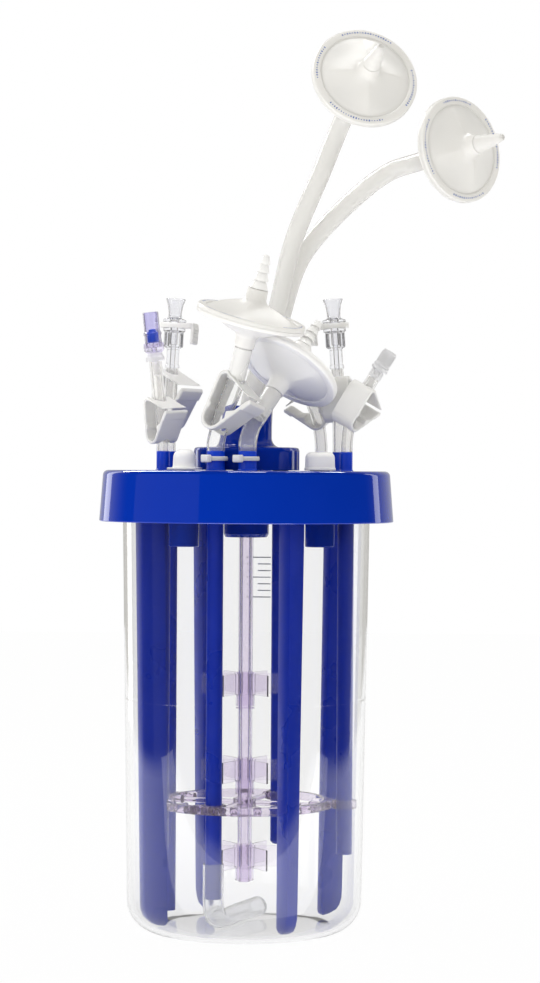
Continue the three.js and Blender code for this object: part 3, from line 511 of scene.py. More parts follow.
def sweptMesh(path, radius, bore=0.0, sides=28):
    across, over = pathFrames(path)
    angles = np.linspace(0, math.tau, sides, endpoint=False)
    count = len(path)

    def ringsOf(width):
        return (
            path[:, None, :]
            + width * np.cos(angles)[None, :, None] * across[:, None, :]
            + width * np.sin(angles)[None, :, None] * over[:, None, :]
        ).reshape(-1, 3)

    verts = list(ringsOf(radius))
    if not bore:
        return meshFrom(verts, capped(count, sides))
    shift, last = len(verts), (count - 1) * sides
    verts += list(ringsOf(bore))
    faces = sleeve(count, sides) + [(b, a, d, c) for a, b, c, d in sleeve(count, sides, shift)]
    for k in range(sides):
        n = (k + 1) % sides
        faces.append((n, k, shift + k, shift + n))
        faces.append((last + k, last + n, shift + last + n, shift + last + k))
    return meshFrom(verts, faces)


def offsetOutline(outline, distance):
    points = np.array(outline, float)
    before, after = np.roll(points, 1, axis=0), np.roll(points, -1, axis=0)
    area = 0.5 * np.sum(points[:, 0] * after[:, 1] - after[:, 0] * points[:, 1])
    a, b = points - before, after - points
    a /= np.maximum(np.linalg.norm(a, axis=1), 1e-9)[:, None]
    b /= np.maximum(np.linalg.norm(b, axis=1), 1e-9)[:, None]
    way = a + b
    way /= np.maximum(np.linalg.norm(way, axis=1), 1e-9)[:, None]
    normal = np.stack([way[:, 1], -way[:, 0]], axis=1) * (1 if area > 0 else -1)
    return [tuple(p) for p in points + normal * distance]


def prismMesh(outline, depth, place=None, bevel=0.0):
    # outline is [x, z] points, drawn out along y, both ways from its middle
    half = depth / 2
    layers = [(outline, -half), (outline, half)]
    if bevel:
        inset = offsetOutline(outline, -bevel)
        layers = [(inset, -half), (outline, -half + bevel), (outline, half - bevel), (inset, half)]
    verts = [(x, y, z) for ring, y in layers for x, z in ring]
    return meshFrom(verts, capped(len(layers), len(outline)), place)


def stand(place, direction, spin=0.0):
    turn = up.rotation_difference(Vector(direction).normalized())
    return Matrix.Translation(Vector(place)) @ turn.to_matrix().to_4x4() @ spun(spin)


def evaluated(piece):
    graph = bpy.context.evaluated_depsgraph_get()
    return bpy.data.meshes.new_from_object(piece.evaluated_get(graph), depsgraph=graph)


def carve(piece, tool):
    cutter = bpy.data.objects.new("cutter", tool)
    scene.collection.objects.link(cutter)
    cutting = piece.modifiers.new("cut", "BOOLEAN")
    cutting.operation = "DIFFERENCE"
    cutting.solver = "EXACT"
    cutting.object = cutter
    result = evaluated(piece)
    piece.modifiers.clear()
    piece.data = result
    bpy.data.objects.remove(cutter)


def mount(piece, node=None, body="vessel_assembly"):
    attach(piece, body)
    if node:
        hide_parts(node)


def recoat(node, finish):
    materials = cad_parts[node].data.materials
    materials.clear()
    materials.append(finishes[finish])


# geometry node trees
def startTree(name, inputs):
    tree = bpy.data.node_groups.new(name, "GeometryNodeTree")
    for label, kind, value in inputs:
        entry = tree.interface.new_socket(name=label, in_out="INPUT", socket_type="NodeSocket" + kind)
        if value is not None:
            entry.default_value = value
    tree.interface.new_socket(name="Geometry", in_out="OUTPUT", socket_type="NodeSocketGeometry")
    return tree, put(tree, "NodeGroupInput").outputs


def endTree(tree, given, instances):
    solid = put(tree, "GeometryNodeRealizeInstances", {"Geometry": instances}).outputs["Geometry"]
    coated = put(tree, "GeometryNodeSetMaterial", {"Geometry": solid, "Material": given["Finish"]})
    put(tree, "NodeGroupOutput", {"Geometry": coated.outputs["Geometry"]})
    return tree


def grown(tree, settings, place=None):
    seed = bpy.data.objects.new("seed", bpy.data.meshes.new("seed"))
    scene.collection.objects.link(seed)
    growth = seed.modifiers.new("growth", "NODES")
    growth.node_group = tree
    values = {**settings, "Finish": finishes[settings["Finish"]]}
    for entry in tree.interface.items_tree:
        if entry.in_out == "INPUT" and entry.name in values:
            growth[entry.identifier] = values[entry.name]
    mesh = evaluated(seed)
    bpy.data.objects.remove(seed)
    mesh.materials.clear()
    return placed(dressed(mesh, settings["Finish"]), place)


def combine(tree, x, y, z):
    return put(tree, "ShaderNodeCombineXYZ", {0: x, 1: y, 2: z}).outputs[0]


def lineOf(tree, count, offset):
    return put(tree, "GeometryNodeMeshLine", {"Count": count, "Offset": offset}, mode="OFFSET").outputs["Mesh"]


def blockRingTree():
    # blocks set round the Z axis, long side outwards
    tree, given = startTree("blockRing", [
        ("Count", "Int", 6), ("Radius", "Float", 10.0), ("Length", "Float", 2.0), ("Width", "Float", 1.0),
        ("Height", "Float", 1.0), ("Turn", "Float", 0.0), ("Level", "Float", 0.0), ("Arc", "Float", math.tau),
        ("Jitter", "Float", 0.0), ("Seed", "Int", 3), ("Finish", "Material", None),
    ])
    order = put(tree, "GeometryNodeInputIndex").outputs[0]
    step = mathOn(tree, "DIVIDE", given["Arc"], given["Count"])
    angle = mathOn(tree, "ADD", mathOn(tree, "MULTIPLY", order, step), given["Turn"])
    x, y = (mathOn(tree, "MULTIPLY", given["Radius"], mathOn(tree, kind, angle)) for kind in ("COSINE", "SINE"))
    spots = put(tree, "GeometryNodeSetPosition", {
        "Geometry": lineOf(tree, given["Count"], (0, 0, 0)), "Position": combine(tree, x, y, given["Level"])})
    block = put(tree, "GeometryNodeMeshCube", {
        "Size": combine(tree, given["Length"], given["Width"], given["Height"])})
    chance = put(tree, "FunctionNodeRandomValue", {
        "Min": mathOn(tree, "SUBTRACT", 1.0, given["Jitter"]), "Max": 1.0, "Seed": given["Seed"]}, data_type="FLOAT")
    size = next(socket for socket in chance.outputs if socket.type == "VALUE")
    blocks = put(tree, "GeometryNodeInstanceOnPoints", {
        "Points": spots.outputs["Geometry"], "Instance": block.outputs["Mesh"],
        "Rotation": combine(tree, 0, 0, angle), "Scale": combine(tree, size, size, 1.0)})
    return endTree(tree, given, blocks.outputs["Instances"])


def barbRowTree():
    # cones in a row on Z, each one smaller than the one below
    tree, given = startTree("barbRow", [
        ("Count", "Int", 4), ("Pitch", "Float", 5.3), ("Wide", "Float", 4.9), ("Flare", "Float", 0.7),
        ("Step", "Float", 0.12), ("Finish", "Material", None),
    ])
    cone = put(tree, "GeometryNodeMeshCone", {
        "Vertices": 40, "Radius Bottom": given["Wide"],
        "Radius Top": mathOn(tree, "SUBTRACT", given["Wide"], given["Flare"]),
        "Depth": mathOn(tree, "MULTIPLY", given["Pitch"], 0.88)})
    order = put(tree, "GeometryNodeInputIndex").outputs[0]
    size = mathOn(tree, "SUBTRACT", 1.0, mathOn(tree, "MULTIPLY", order, given["Step"]))
    cones = put(tree, "GeometryNodeInstanceOnPoints", {
        "Points": lineOf(tree, given["Count"], combine(tree, 0, 0, given["Pitch"])),
        "Instance": cone.outputs["Mesh"], "Scale": combine(tree, size, size, 1.0)})
    return endTree(tree, given, cones.outputs["Instances"])


blockRing = blockRingTree()
barbRow = barbRowTree()
print("node trees built")


# vessel: thin clear wall, rounded foot, one fine fill line, grey scale at the back
def buildVessel():
    size = {
        "height": 260, "foot": 68, "mouth": 71.8, "wall": 2.5, "corner": 18, "rim": 79.3, "rimDepth": 4.5,
        "fillLine": 135, "lineProud": 0.06,
    }
    draft = (size["mouth"] - size["foot"]) / (size["height"] - size["corner"])
    wallAt = lambda z: size["foot"] + draft * (z - size["corner"])
    seat = size["height"] - size["rimDepth"]
    corner, fill, rim, top = (size[part] for part in ("corner", "fillLine", "rim", "height"))
    bend = size["foot"] - corner
    outside = [(0, 0.6), (bend - 6, 0.6), *bow(bend, corner, corner, -90, 0, 16)]
    outside += [(wallAt(fill - 0.5), fill - 0.5), (wallAt(fill) + size["lineProud"], fill),
                (wallAt(fill + 0.5), fill + 0.5), (wallAt(seat - 1.5), seat - 1.5), (wallAt(seat) + 1.5, seat),
                (rim - 0.5, seat), (rim, seat + 0.5), (rim, top - 0.5), (rim - 0.5, top)]
    inside = [(wallAt(top) - size["wall"], top), *bow(bend, corner, corner - size["wall"], 0, -90, 16),
              (0, size["wall"])]
    vessel = finishMesh("vesselWall", turnedMesh(outside + inside, 160, ease=0), "vesselClear", 30)
    mount(vessel, "vessel")
    scale = {"low": 190, "high": 214, "step": 4, "turn": math.radians(78)}
    marks = []
    levels = range(scale["low"], scale["high"] + 1, scale["step"])
    for k, level in enumerate(levels):
        arc = 0.16 if k % 3 == 0 else 0.11
        marks.append(grown(blockRing, {
            "Count": 12, "Radius": wallAt(level) + 0.05, "Length": 0.12, "Width": wallAt(level) * arc / 12 * 1.05,
            "Height": 0.7, "Turn": scale["turn"], "Level": float(level), "Arc": arc, "Finish": "printGrey",
        }))
    print("vessel done")
    mount(joined("fillScale", marks, "printGrey"))


buildVessel()


# head plate with skirt, bosses below and stubs above
plate = {"under": 260.3, "top": 266.3, "skirtFoot": 236.8, "skirtTopRadius": 83.2, "skirtRadius": 85.2, "wall": 3.9,
         "edge": 3.0}
ports = {
    "line_1": {"spot": (-48.4, -6), "size": "small", "dip": "sample_tube"},
    "line_2": {"spot": (-45.5, 28), "size": "small", "dip": "drain_tube"},
    "line_3": {"spot": (-17.5, -33.8), "size": "front", "dip": "sparge_riser"},
    "line_4": {"spot": (0.5, -38.2), "size": "front"},
    "line_5": {"spot": (57.457, -6.039), "size": "small", "dip": "harvest_tube"},
    "line_6": {"spot": (54, 16), "size": "small"},
    "line_7": {"spot": (44, 31), "size": "small"},
    "vent_line_1": {"spot": (-2, 42), "size": "vent"},
    "vent_line_2": {"spot": (9, 55), "size": "vent"},
}
lineSizes = {
    "small": {"radius": 3.7, "bore": 2.3, "stub": 11.5},
    "front": {"radius": 5.2, "bore": 4.2, "stub": 11.5},
    "vent": {"radius": 5.5, "bore": 4.2, "stub": 11.5},
}
sensorSpots = {"sensor_plug_left": (-35.4, -27), "sensor_plug_right": (42, -22)}


def buildHeadPlate():
    top, under, edge = plate["top"], plate["under"], plate["edge"]
    boss = {"radius": 13, "depth": 32.5, "bore": 8.2, "sensorRadius": 8.7, "sensorDepth": 37.5, "sensorBore": 6}
    skirt = [
        (boss["bore"], under), (79.9, under), (plate["skirtRadius"] - plate["wall"], plate["skirtFoot"]),
        (plate["skirtRadius"] - 0.4, plate["skirtFoot"]), (plate["skirtRadius"], plate["skirtFoot"] + 0.5),
        *bow(plate["skirtTopRadius"] - edge, top - edge, edge, 0, 90, 12), (boss["bore"], top),
    ]
    parts = [turnedMesh(skirt, 160, ease=0, loop=True)]
    parts.append(turnedMesh(
        [(boss["bore"], under - boss["depth"]), (boss["radius"] - 1, under - boss["depth"]),
         (boss["radius"], under - boss["depth"] + 2), (boss["radius"] + 0.5, under + 0.2), (boss["bore"], under + 0.2)],
        64, loop=True))
    for spot in sensorSpots.values():
        parts.append(turnedMesh(
            [(boss["sensorBore"], under - boss["sensorDepth"]),
             (boss["sensorRadius"] - 0.2, under - boss["sensorDepth"]),
             (boss["sensorRadius"], under + 0.2), (boss["sensorBore"], under + 0.2)],
            48, at(*spot), ease=0.8, loop=True))
    for facts in ports.values():
        size = lineSizes[facts["size"]]
        neck = size["radius"] + 0.04
        foot = top - 0.3
        parts.append(turnedMesh(
            [(neck + 1.0, foot), (neck + 0.1, foot + 1.0), (neck, foot + 1.6), (neck, foot + size["stub"] - 0.4),
             (neck - 0.4, foot + size["stub"]), (neck - 2.0, foot + size["stub"]), (neck - 2.0, foot)],
            40, at(*facts["spot"]), ease=0.3, loop=True))
        # painted light: the stubs get the brighter copy of the lid's blue
        dressed(parts[-1], "stubBlue")
        if "dip" in facts:
            parts.append(turnedMesh(
                [(1.4, under - 8), (2.4, under - 8), (2.6, under), (1.4, under)],
                32, at(*facts["spot"]), ease=0.2, loop=True))
    lid = joined("headPlate", parts, "glossBlue", 32)
    mount(lid, "head_plate")
    print("head plate done")


buildHeadPlate()


# drive housing: drum, fillet and tower
def buildHousing():
    size = {"drum": 30.6, "drumHeight": 13.5, "tower": 14.5, "towerHeight": 37.5, "wall": 2.2, "fillet": 5.5}
    foot, top = plate["top"] + 0.3, plate["top"]
    drumTop, towerTop = top + size["drumHeight"], top + size["towerHeight"]
    drum, tower, wall, fillet = (size[part] for part in ("drum", "tower", "wall", "fillet"))
    outline = [
        (drum - wall, foot), (drum, foot), (drum, drumTop - 1.8), (drum - 0.5, drumTop - 0.5), (drum - 1.8, drumTop),
        *bow(tower + fillet, drumTop + fillet, fillet, -90, -180, 8),
        (tower, towerTop - 2), (tower - 0.6, towerTop - 0.6), (tower - 2, towerTop), (4, towerTop),
        (3.4, towerTop - 0.6), (0, towerTop - 0.6), (0, towerTop - wall), (tower - wall, towerTop - wall),
        (tower - wall, drumTop - wall), (drum - wall, drumTop - wall), (drum - wall, foot)]
    housing = finishMesh("driveHousing", turnedMesh(outline, 128, ease=0.25), "glossBlue", 32)
    mount(housing, "drive_housing")


buildHousing()
for label in ("shaft_bearing", "drive_hub"):
    recoat(label, "bearing")


# sensor port plugs
def buildSensorPlugs():
    shapes = {
        "sensor_plug_left": {"body": "left_sensor_plug", "name": "leftSensorPlug", "head": 10, "tall": 11.7,
                             "dome": 6.7, "flange": 1.3, "round": 4.6},
        "sensor_plug_right": {"body": "right_sensor_plug", "name": "rightSensorPlug", "head": 9, "tall": 10.5,
                              "dome": 8.6, "flange": 1.0, "round": 3.2},
    }
    for node, size in shapes.items():
        foot = plate["top"] + 0.3
        head, dome, flange, bend = (size[part] for part in ("head", "dome", "flange", "round"))
        top = foot + size["tall"]
        outline = [
            (0, foot - 22), (4.7, foot - 22), (5.7, foot - 21), (5.7, foot), (head, foot), (head, foot + flange),
            (dome + 0.5, foot + flange), (dome, foot + flange + 0.8), (dome - 0.2, top - bend),
            *bow(dome - 0.2 - bend, top - bend, bend, 0, 90, 8)[1:], (0, top)]
        plug = finishMesh(
            size["name"], turnedMesh(outline, 72, at(*sensorSpots[node]), 0.35), "whiteBright", 32)
        mount(plug, node, size["body"])


buildSensorPlugs()


# stirrer: hollow shaft and three impellers
def buildStirrer():
    shaft = {"radius": 4.15, "bore": 2.3, "tip": 28, "top": 282}
    tube = turnedMesh(
        [(shaft["bore"], shaft["tip"]), (shaft["radius"] - 0.8, shaft["tip"]),
         (shaft["radius"], shaft["tip"] + 2), (shaft["radius"], shaft["top"]), (shaft["bore"], shaft["top"])],
        56, loop=True, ease=0.3)
    piece = finishMesh("stirrerShaft", tube, "violetClear", 32)
    mount(piece, "stirrer_shaft", "stirrer")
    wheel = {"hub": 6.0, "hubHeight": 13.2, "collar": 5.4, "collarHeight": 7.5, "bore": 4.45, "reach": 25.5,
             "blade": 12, "thickness": 1.0, "blades": 6, "grooves": 12, "flute": 1.04}
    for node, level in {"impeller_upper": 143, "impeller_middle": 93, "impeller_lower": 43}.items():
        half = wheel["hubHeight"] / 2
        lift = at(0, 0, level)
        hub = turnedMesh(
            [(wheel["bore"], -half - wheel["collarHeight"]), (wheel["collar"], -half - wheel["collarHeight"]),
             (wheel["collar"], -half - 0.4), (wheel["hub"], -half), (wheel["hub"], half - 0.6),
             (wheel["hub"] - 0.6, half), (wheel["bore"], half)],
            60, lift, 0.3, True)
        inner, outer = wheel["hub"] - 0.3, wheel["reach"]
        blades = grown(blockRing, {
            "Count": wheel["blades"], "Radius": (inner + outer) / 2, "Length": outer - inner,
            "Width": wheel["thickness"], "Height": float(wheel["blade"]), "Finish": "violetBlade"}, lift)
        for corner in hub.vertices:  # shallow flutes round the hub
            flat = math.hypot(corner.co.x, corner.co.y)
            raised = math.cos(wheel["grooves"] * math.atan2(corner.co.y, corner.co.x)) > 0.2
            if flat > (wheel["hub"] - 0.1) * mm and raised:
                corner.co.x *= wheel["flute"]
                corner.co.y *= wheel["flute"]
        dressed(hub, "violetHub")
        piece = joined(node.replace("_", ""), [hub, blades], "violetBlade", 32)
        mount(piece, node, "stirrer")
    print("stirrer done")


buildStirrer()


# baffles: drafted blades with a rounded toe and heel
def buildBaffles():
    size = {"angles": (25, 115, 205, 295), "width": 14, "top": 260.0, "topThickness": 9.5, "footThickness": 6.5,
            "foot": 4.6, "toe": 13, "heel": 2.5, "outerTop": 67.1, "outerFoot": 63.3, "edge": 0.7, "layers": 26}
    for number, angle in enumerate(size["angles"], 1):
        rows = []
        for k in range(size["layers"] + 1):
            share = k / size["layers"]
            z = size["foot"] + (size["top"] - size["foot"]) * share**1.7
            if k == 0:
                z = size["foot"] + 0.05
            outer = size["outerFoot"] + (size["outerTop"] - size["outerFoot"]) * (z - 18) / (size["top"] - 18)
            inner = outer - size["width"]
            rise = z - size["foot"]
            if rise < size["toe"]:
                outer -= size["toe"] - math.sqrt(size["toe"] ** 2 - (size["toe"] - rise) ** 2)
            if rise < size["heel"]:
                inner += size["heel"] - math.sqrt(size["heel"] ** 2 - (size["heel"] - rise) ** 2)
            half = 0.5 * (size["footThickness"] + (size["topThickness"] - size["footThickness"]) * z / size["top"])
            ease = min(1.0, 0.35 + rise / 3.0)
            half *= ease
            rows.append((inner, outer, half, z))
        verts = []
        for inner, outer, half, z in rows:
            e = min(size["edge"], half * 0.4, (outer - inner) * 0.2)
            side = [(inner, -half + e), (inner + 0.3 * e, -half + 0.3 * e), (inner + e, -half), (outer - e, -half),
                    (outer - 0.3 * e, -half + 0.3 * e), (outer, -half + e)]
            verts += [(x, y, z) for x, y in side + [(x, -y) for x, y in reversed(side)]]
        turn = spun(angle)
        blade = finishMesh(f"baffle{number}", meshFrom(verts, capped(len(rows), 12), turn), "satinBlue", 30)
        mount(blade, f"baffle_{number}")


buildBaffles()


# dip tubes, thermowell and the sparge hose
def buildDipTubes():
    size = {"radius": 4.65, "bore": 3.0, "top": 260.0}
    tubes = {
        "sparge_riser": {"name": "spargeRiser", "spot": ports["line_3"]["spot"], "foot": 23},
        "harvest_tube": {"name": "harvestTube", "spot": ports["line_5"]["spot"], "foot": 45},
        "sample_tube": {"name": "sampleTube", "spot": ports["line_1"]["spot"], "foot": 48},
        "drain_tube": {"name": "drainTube", "spot": ports["line_2"]["spot"], "foot": 7},
    }
    for node, facts in tubes.items():
        shape = turnedMesh(
            [(size["bore"], facts["foot"]), (size["radius"] - 0.1, facts["foot"]),
             (size["radius"], facts["foot"] + 0.4), (size["radius"], size["top"]), (size["bore"], size["top"])],
            56, at(*facts["spot"]), 0.3, True)
        tube = finishMesh(facts["name"], shape, "satinBlue", 32)
        mount(tube, node)
    well = {"spot": (20, 38), "foot": 45, "collar": plate["top"] + 0.3}
    shape = turnedMesh(
        [(0, well["foot"]), (size["radius"] - 1.5, well["foot"] + 0.2), (size["radius"], well["foot"] + 1.8),
         (size["radius"], well["collar"]), (size["radius"] + 2, well["collar"]),
         (size["radius"] + 2, well["collar"] + 2), (size["bore"], well["collar"] + 2),
         (size["bore"], well["foot"] + 2), (0, well["foot"] + 2)],
        56, at(*well["spot"]), 0.4)
    piece = finishMesh("thermowell", shape, "satinBlue", 32)
    mount(piece, "thermowell")


buildDipTubes()


def buildSpargeHose():
    hose = {"bore": 4.95, "radius": 5.95, "top": 42.7, "level": 9.6, "end": (8, 26), "bend": 13}
    x, y = ports["line_3"]["spot"]
    start = np.array([x, y, hose["level"]])
    run = np.array([hose["end"][0] - x, hose["end"][1] - y, 0.0])
    length = np.linalg.norm(run)
    step = run / length
    points = [(x, y, hose["top"]), (x, y, 36), (x, y, 30), (x, y, hose["level"] + hose["bend"])]
    corner = np.array([x, y, hose["level"] + hose["bend"]])
    for t in (0.33, 0.67):
        points.append((1 - t) ** 2 * corner + 2 * t * (1 - t) * start + t * t * (start + step * hose["bend"]))
    points += [start + step * hose["bend"], start + step * (hose["bend"] + length) / 2, start + step * length]
    path = smoothPath(points, 8)
    body = sweptMesh(path, hose["radius"], hose["bore"], 36)
    plug = sweptMesh(np.array([start + step * (length - 3), start + step * (length + 0.9)]), hose["bore"] + 0.1, 0, 36)
    piece = joined("spargeHose", [body, plug], "hoseClear", 32)
    mount(piece, "sparge_hose")


buildSpargeHose()


# tie ring round the dip tubes
def buildTieRing():
    size = {"level": 74, "thickness": 5.0, "inner": 45.6, "outer": 49.6, "hubWall": 2.0, "hubBore": 4.75,
            "spoke": 2.6, "eye": 7.15, "eyeBore": 4.95, "prong": 2.3, "prongBore": 1.0, "prongLength": 12,
            "spread": 13, "spokes": (70, 160, 250, 340)}
    half = size["thickness"] / 2
    lift = at(0, 0, size["level"])
    parts = [turnedMesh(band(size["inner"], size["outer"], -half, half), 128, lift, 1.2, True)]
    parts.append(turnedMesh(
        band(size["hubBore"], size["hubBore"] + size["hubWall"], -half, half), 48, lift, 0.6, True))
    for angle in size["spokes"]:
        way = np.array([math.cos(math.radians(angle)), math.sin(math.radians(angle)), 0])
        path = np.array([way * (size["hubBore"] + 1.2), way * 26, way * (size["inner"] + 0.6)])
        path[:, 2] = size["level"]
        parts.append(sweptMesh(smoothPath(path, 2), size["spoke"] * 0.62, 0, 14))
    eyes = [ports[k]["spot"] for k in ("line_1", "line_2", "line_3", "line_5")] + [(20, 38)]
    for x, y in eyes:
        parts.append(turnedMesh(
            band(size["eyeBore"], size["eye"], -half, half), 44, at(x, y, size["level"]), 0.7, True))
        reach = math.hypot(x, y)
        way = np.array([x / reach, y / reach, 0])
        low, high = sorted((reach, (size["inner"] + size["outer"]) / 2))
        if reach < size["inner"]:
            low = reach + size["eyeBore"] + 0.8
        elif reach > size["outer"]:
            high = reach - size["eyeBore"] - 0.8
        if high - low > 1.5:
            path = np.array([way * low, way * high])
            path[:, 2] = size["level"]
            parts.append(sweptMesh(path, size["spoke"] * 0.8, 0, 14))
    stations = [ports[k]["spot"] for k in ("line_3", "line_4", "line_5", "line_2")]
    stations += [sensorSpots["sensor_plug_right"], (20, 38), (-33, -30)]
    for x, y in stations:
        turn = math.atan2(y, x)
        for side in (-1, 1):
            start = size["outer"] - size["prongLength"] + 1
            place = (
                Matrix.Rotation(turn, 4, "Z")
                @ at(start, side * size["spread"] / 2, size["level"])
                @ spun(90, "Y"))
            long = size["prongLength"]
            parts.append(turnedMesh(
                [(0, 0), (size["prong"], 0), (size["prong"], long), (size["prongBore"], long),
                 (size["prongBore"], long * 0.5), (0, long * 0.5)], 28, place, 0.5))
    ring = joined("tieRing", parts, "violetRing", 34)
    mount(ring, "tie_ring")
    print("inner parts done")


buildTieRing()


# vent filters: two creased half shells with barbed nipples, and a "felt" disc between them
filterSize = {"radius": 31.3, "rim": 4.4, "rimHeight": 2.4, "cone": 9.5, "wall": 1.4, "neck": 5.8, "neckLength": 8.0,
              "crease": 2.0, "split": 0.05, "barbs": 4, "pitch": 4.8, "bore": 1.4}
nippleSizes = {
    "front": {"barb": 5.4, "flare": 2.0, "step": 0.139},
    "rear": {"barb": 4.32, "flare": 0.06, "step": 0.0},
}
filterSize["tip"] = filterSize["cone"] + filterSize["neckLength"] + filterSize["barbs"] * filterSize["pitch"]
filterSize["seat"] = filterSize["cone"] + filterSize["neckLength"] + 0.3
filters = {
    "filter_1": {"centre": (66.9, 0, 494), "facing": (0.22, -0.89, 0.37), "turn": 55},
    "filter_2": {"centre": (123.2, 15, 454.7), "facing": (0.63, -0.77, 0.12), "turn": 10},
    "filter_3": {"centre": (2, -41, 352.5), "facing": (0.234, -0.19, 0.953), "turn": 30},
    "filter_4": {"centre": (23.8, -6, 325), "facing": (0.49, 0.4, 0.775), "turn": 0},
}


def filterShellMesh(place, sides=96):
    neck, cone, radius, rim, split = (filterSize[part] for part in ("neck", "cone", "radius", "rimHeight", "split"))
    foot, seat = radius - filterSize["rim"], cone + filterSize["neckLength"]
    rings = [(neck - 0.9, seat - 0.2, 0), (neck - 0.2, seat - 0.4, 0), (neck, seat - 1, 0),
             (neck + 0.2, cone + 2.4, 0), (neck + 0.6, cone + 0.9, 0), (neck + 1.6, cone - 0.1, 0)]
    for k in range(1, 10):
        t = k / 10
        r = neck + 1.6 + (foot - 0.8 - neck - 1.6) * t
        z = cone - 0.4 + (rim - 0.6 - cone + 0.4) * t
        rings.append((r, z, filterSize["crease"] * math.sin(math.pi * t) ** 0.8))
    rings += [(foot - 0.7, rim - 0.9, 0), (foot - 0.2, rim - 0.6, 0), (foot, rim - 0.1, 0), (foot + 0.4, rim, 0),
              (radius - 1.0, rim, 0), (radius - 0.4, rim - 0.2, 0), (radius, rim - 0.8, 0), (radius, split, 0),
              (foot - 1, split, 0), (foot - 1, split + 0.7, 0), (neck * 0.5, cone - filterSize["wall"], 0),
              (0.0001, cone - filterSize["wall"], 0)]
    verts = []
    for r, z, crease in rings:
        for k in range(sides):
            angle = math.tau * k / sides
            flat = max(abs(math.cos(angle)), abs(math.sin(angle)))
            fold = (1 - flat) / (1 - math.sqrt(0.5)) - 0.5
            verts.append((r * math.cos(angle), r * math.sin(angle), z + crease * fold))
    last = (len(rings) - 1) * sides
    ends = [tuple(range(sides)), tuple(last + k for k in range(sides))]
    return meshFrom(verts, sleeve(len(rings), sides) + ends, place)


def nippleMeshes(place, barbs, finish):
    size = filterSize
    foot = size["cone"] + size["neckLength"] - 0.5
    lean = barbs["barb"] - barbs["flare"] - 0.1
    slim = lean * (1 - (size["barbs"] - 1) * barbs["step"]) - 0.1
    core = turnedMesh(
        [(size["bore"], foot), (lean, foot), (slim, size["tip"] - 0.6), (slim - 0.4, size["tip"]),
         (size["bore"], size["tip"])], 40, place, 0.3, True)
    row = grown(barbRow, {"Count": size["barbs"], "Pitch": size["pitch"], "Wide": barbs["barb"],
                          "Flare": barbs["flare"], "Step": barbs["step"], "Finish": finish},
                place @ at(0, 0, foot + 0.5))
    dressed(core, finish)
    return [core, row]


def buildFilters():
    for node, facts in filters.items():
        label = node.replace("_", "")
        # painted light and shade: filters 1 to 3 get the darker white and filter 4 the lighter one, though all are the
        # same white plastic
        finish = "whiteDim" if node != "filter_4" else "whiteSoft"
        for half in ("front", "rear"):
            place = stand(facts["centre"], facts["facing"], facts["turn"])
            if half == "rear":
                place = stand(facts["centre"], facts["facing"]) @ spun(180, "X")
            shell = filterShellMesh(place)
            dressed(shell, finish)
            # painted light: the nipples of filters 3 and 4 get the lighter white to make up for their shade
            stem = "whiteSoft" if node in ("filter_3", "filter_4") else "whiteDim"
            parts = [shell, *nippleMeshes(place, nippleSizes[half], stem)]
            piece = joined(f"{label}{half.title()}Shell", parts, finish, 36)
            mount(piece, f"{node}_{half}_shell")
            if half == "front":
                marks = []
                arcs = (0.2, 1.1, 20), (1.75, 0.8, 14), (3.1, 1.2, 22), (4.9, 0.9, 16)
                for k, (start, arc, count) in enumerate(arcs):
                    marks.append(grown(blockRing, {
                        "Count": count, "Radius": filterSize["radius"] - 2.3, "Length": 1.15, "Width": 0.75,
                        "Height": 0.06, "Turn": start, "Arc": arc, "Level": filterSize["rimHeight"] + 0.01,
                        "Jitter": 0.45, "Seed": 11 + k, "Finish": "printBlue"}, place))
                dashes = joined(f"{label}RimMarks", marks, "printBlue")
                mount(dashes)
        recoat(f"{node}_membrane", "felt")
    print("filters done")


buildFilters()


# lines
def behindFilter(node):
    facts = filters[node]
    back = -np.array(Vector(facts["facing"]).normalized())
    tip, seat = filterSize["tip"], filterSize["seat"]
    return [tuple(np.array(facts["centre"]) + back * d) for d in (tip + 5, tip + 0.5, (seat + tip) / 2, seat)]


# from each port: right, back, up from the lid
lineRoutes = {
    "line_1": {"route": [(-1.2, 0, 34), (-3.2, -0.5, 50), (-4.6, -1, 62.7)]},
    "line_2": {"route": [(0.2, 0, 34), (0.6, 0, 48), (1.2, 0, 60)]},
    "line_3": {"route": [(4.3, 0.8, 32.7)], "filter": "filter_3"},
    "line_4": {"route": [], "filter": "filter_4"},
    "line_5": {"route": [(2.5, 0, 31.7), (8.5, 0, 42.7), (15.5, 0, 53.7)]},
    "line_6": {"route": [(-0.2, 0, 33.7), (-0.6, 0, 47.7), (-1.4, 0, 59.7)]},
    "line_7": {"route": [(-2, -1, 29.7), (-6.5, -2, 42.7), (-10, -3, 53.7)]},
    "vent_line_1": {"route": [(5, 1, 45.7), (18.8, 3, 92.7), (29.4, 3, 137.7), (46, 1, 178.7), (53, 2.5, 196.7),
                              (57.5, 0, 207.7)], "filter": "filter_1"},
    "vent_line_2": {"route": [(2.5, 1.5, 49.7), (11.6, 3, 93.7), (22, 3, 125.7), (35.7, 2, 144.7), (63, -1, 170.7),
                              (77, -1, 180.2)], "filter": "filter_2"},
}
lineFinishes = {"small": "smallTubing", "front": "tubing", "vent": "ventTubing"}
linePaths = {}
overBarbLength = 0.0185  # metres


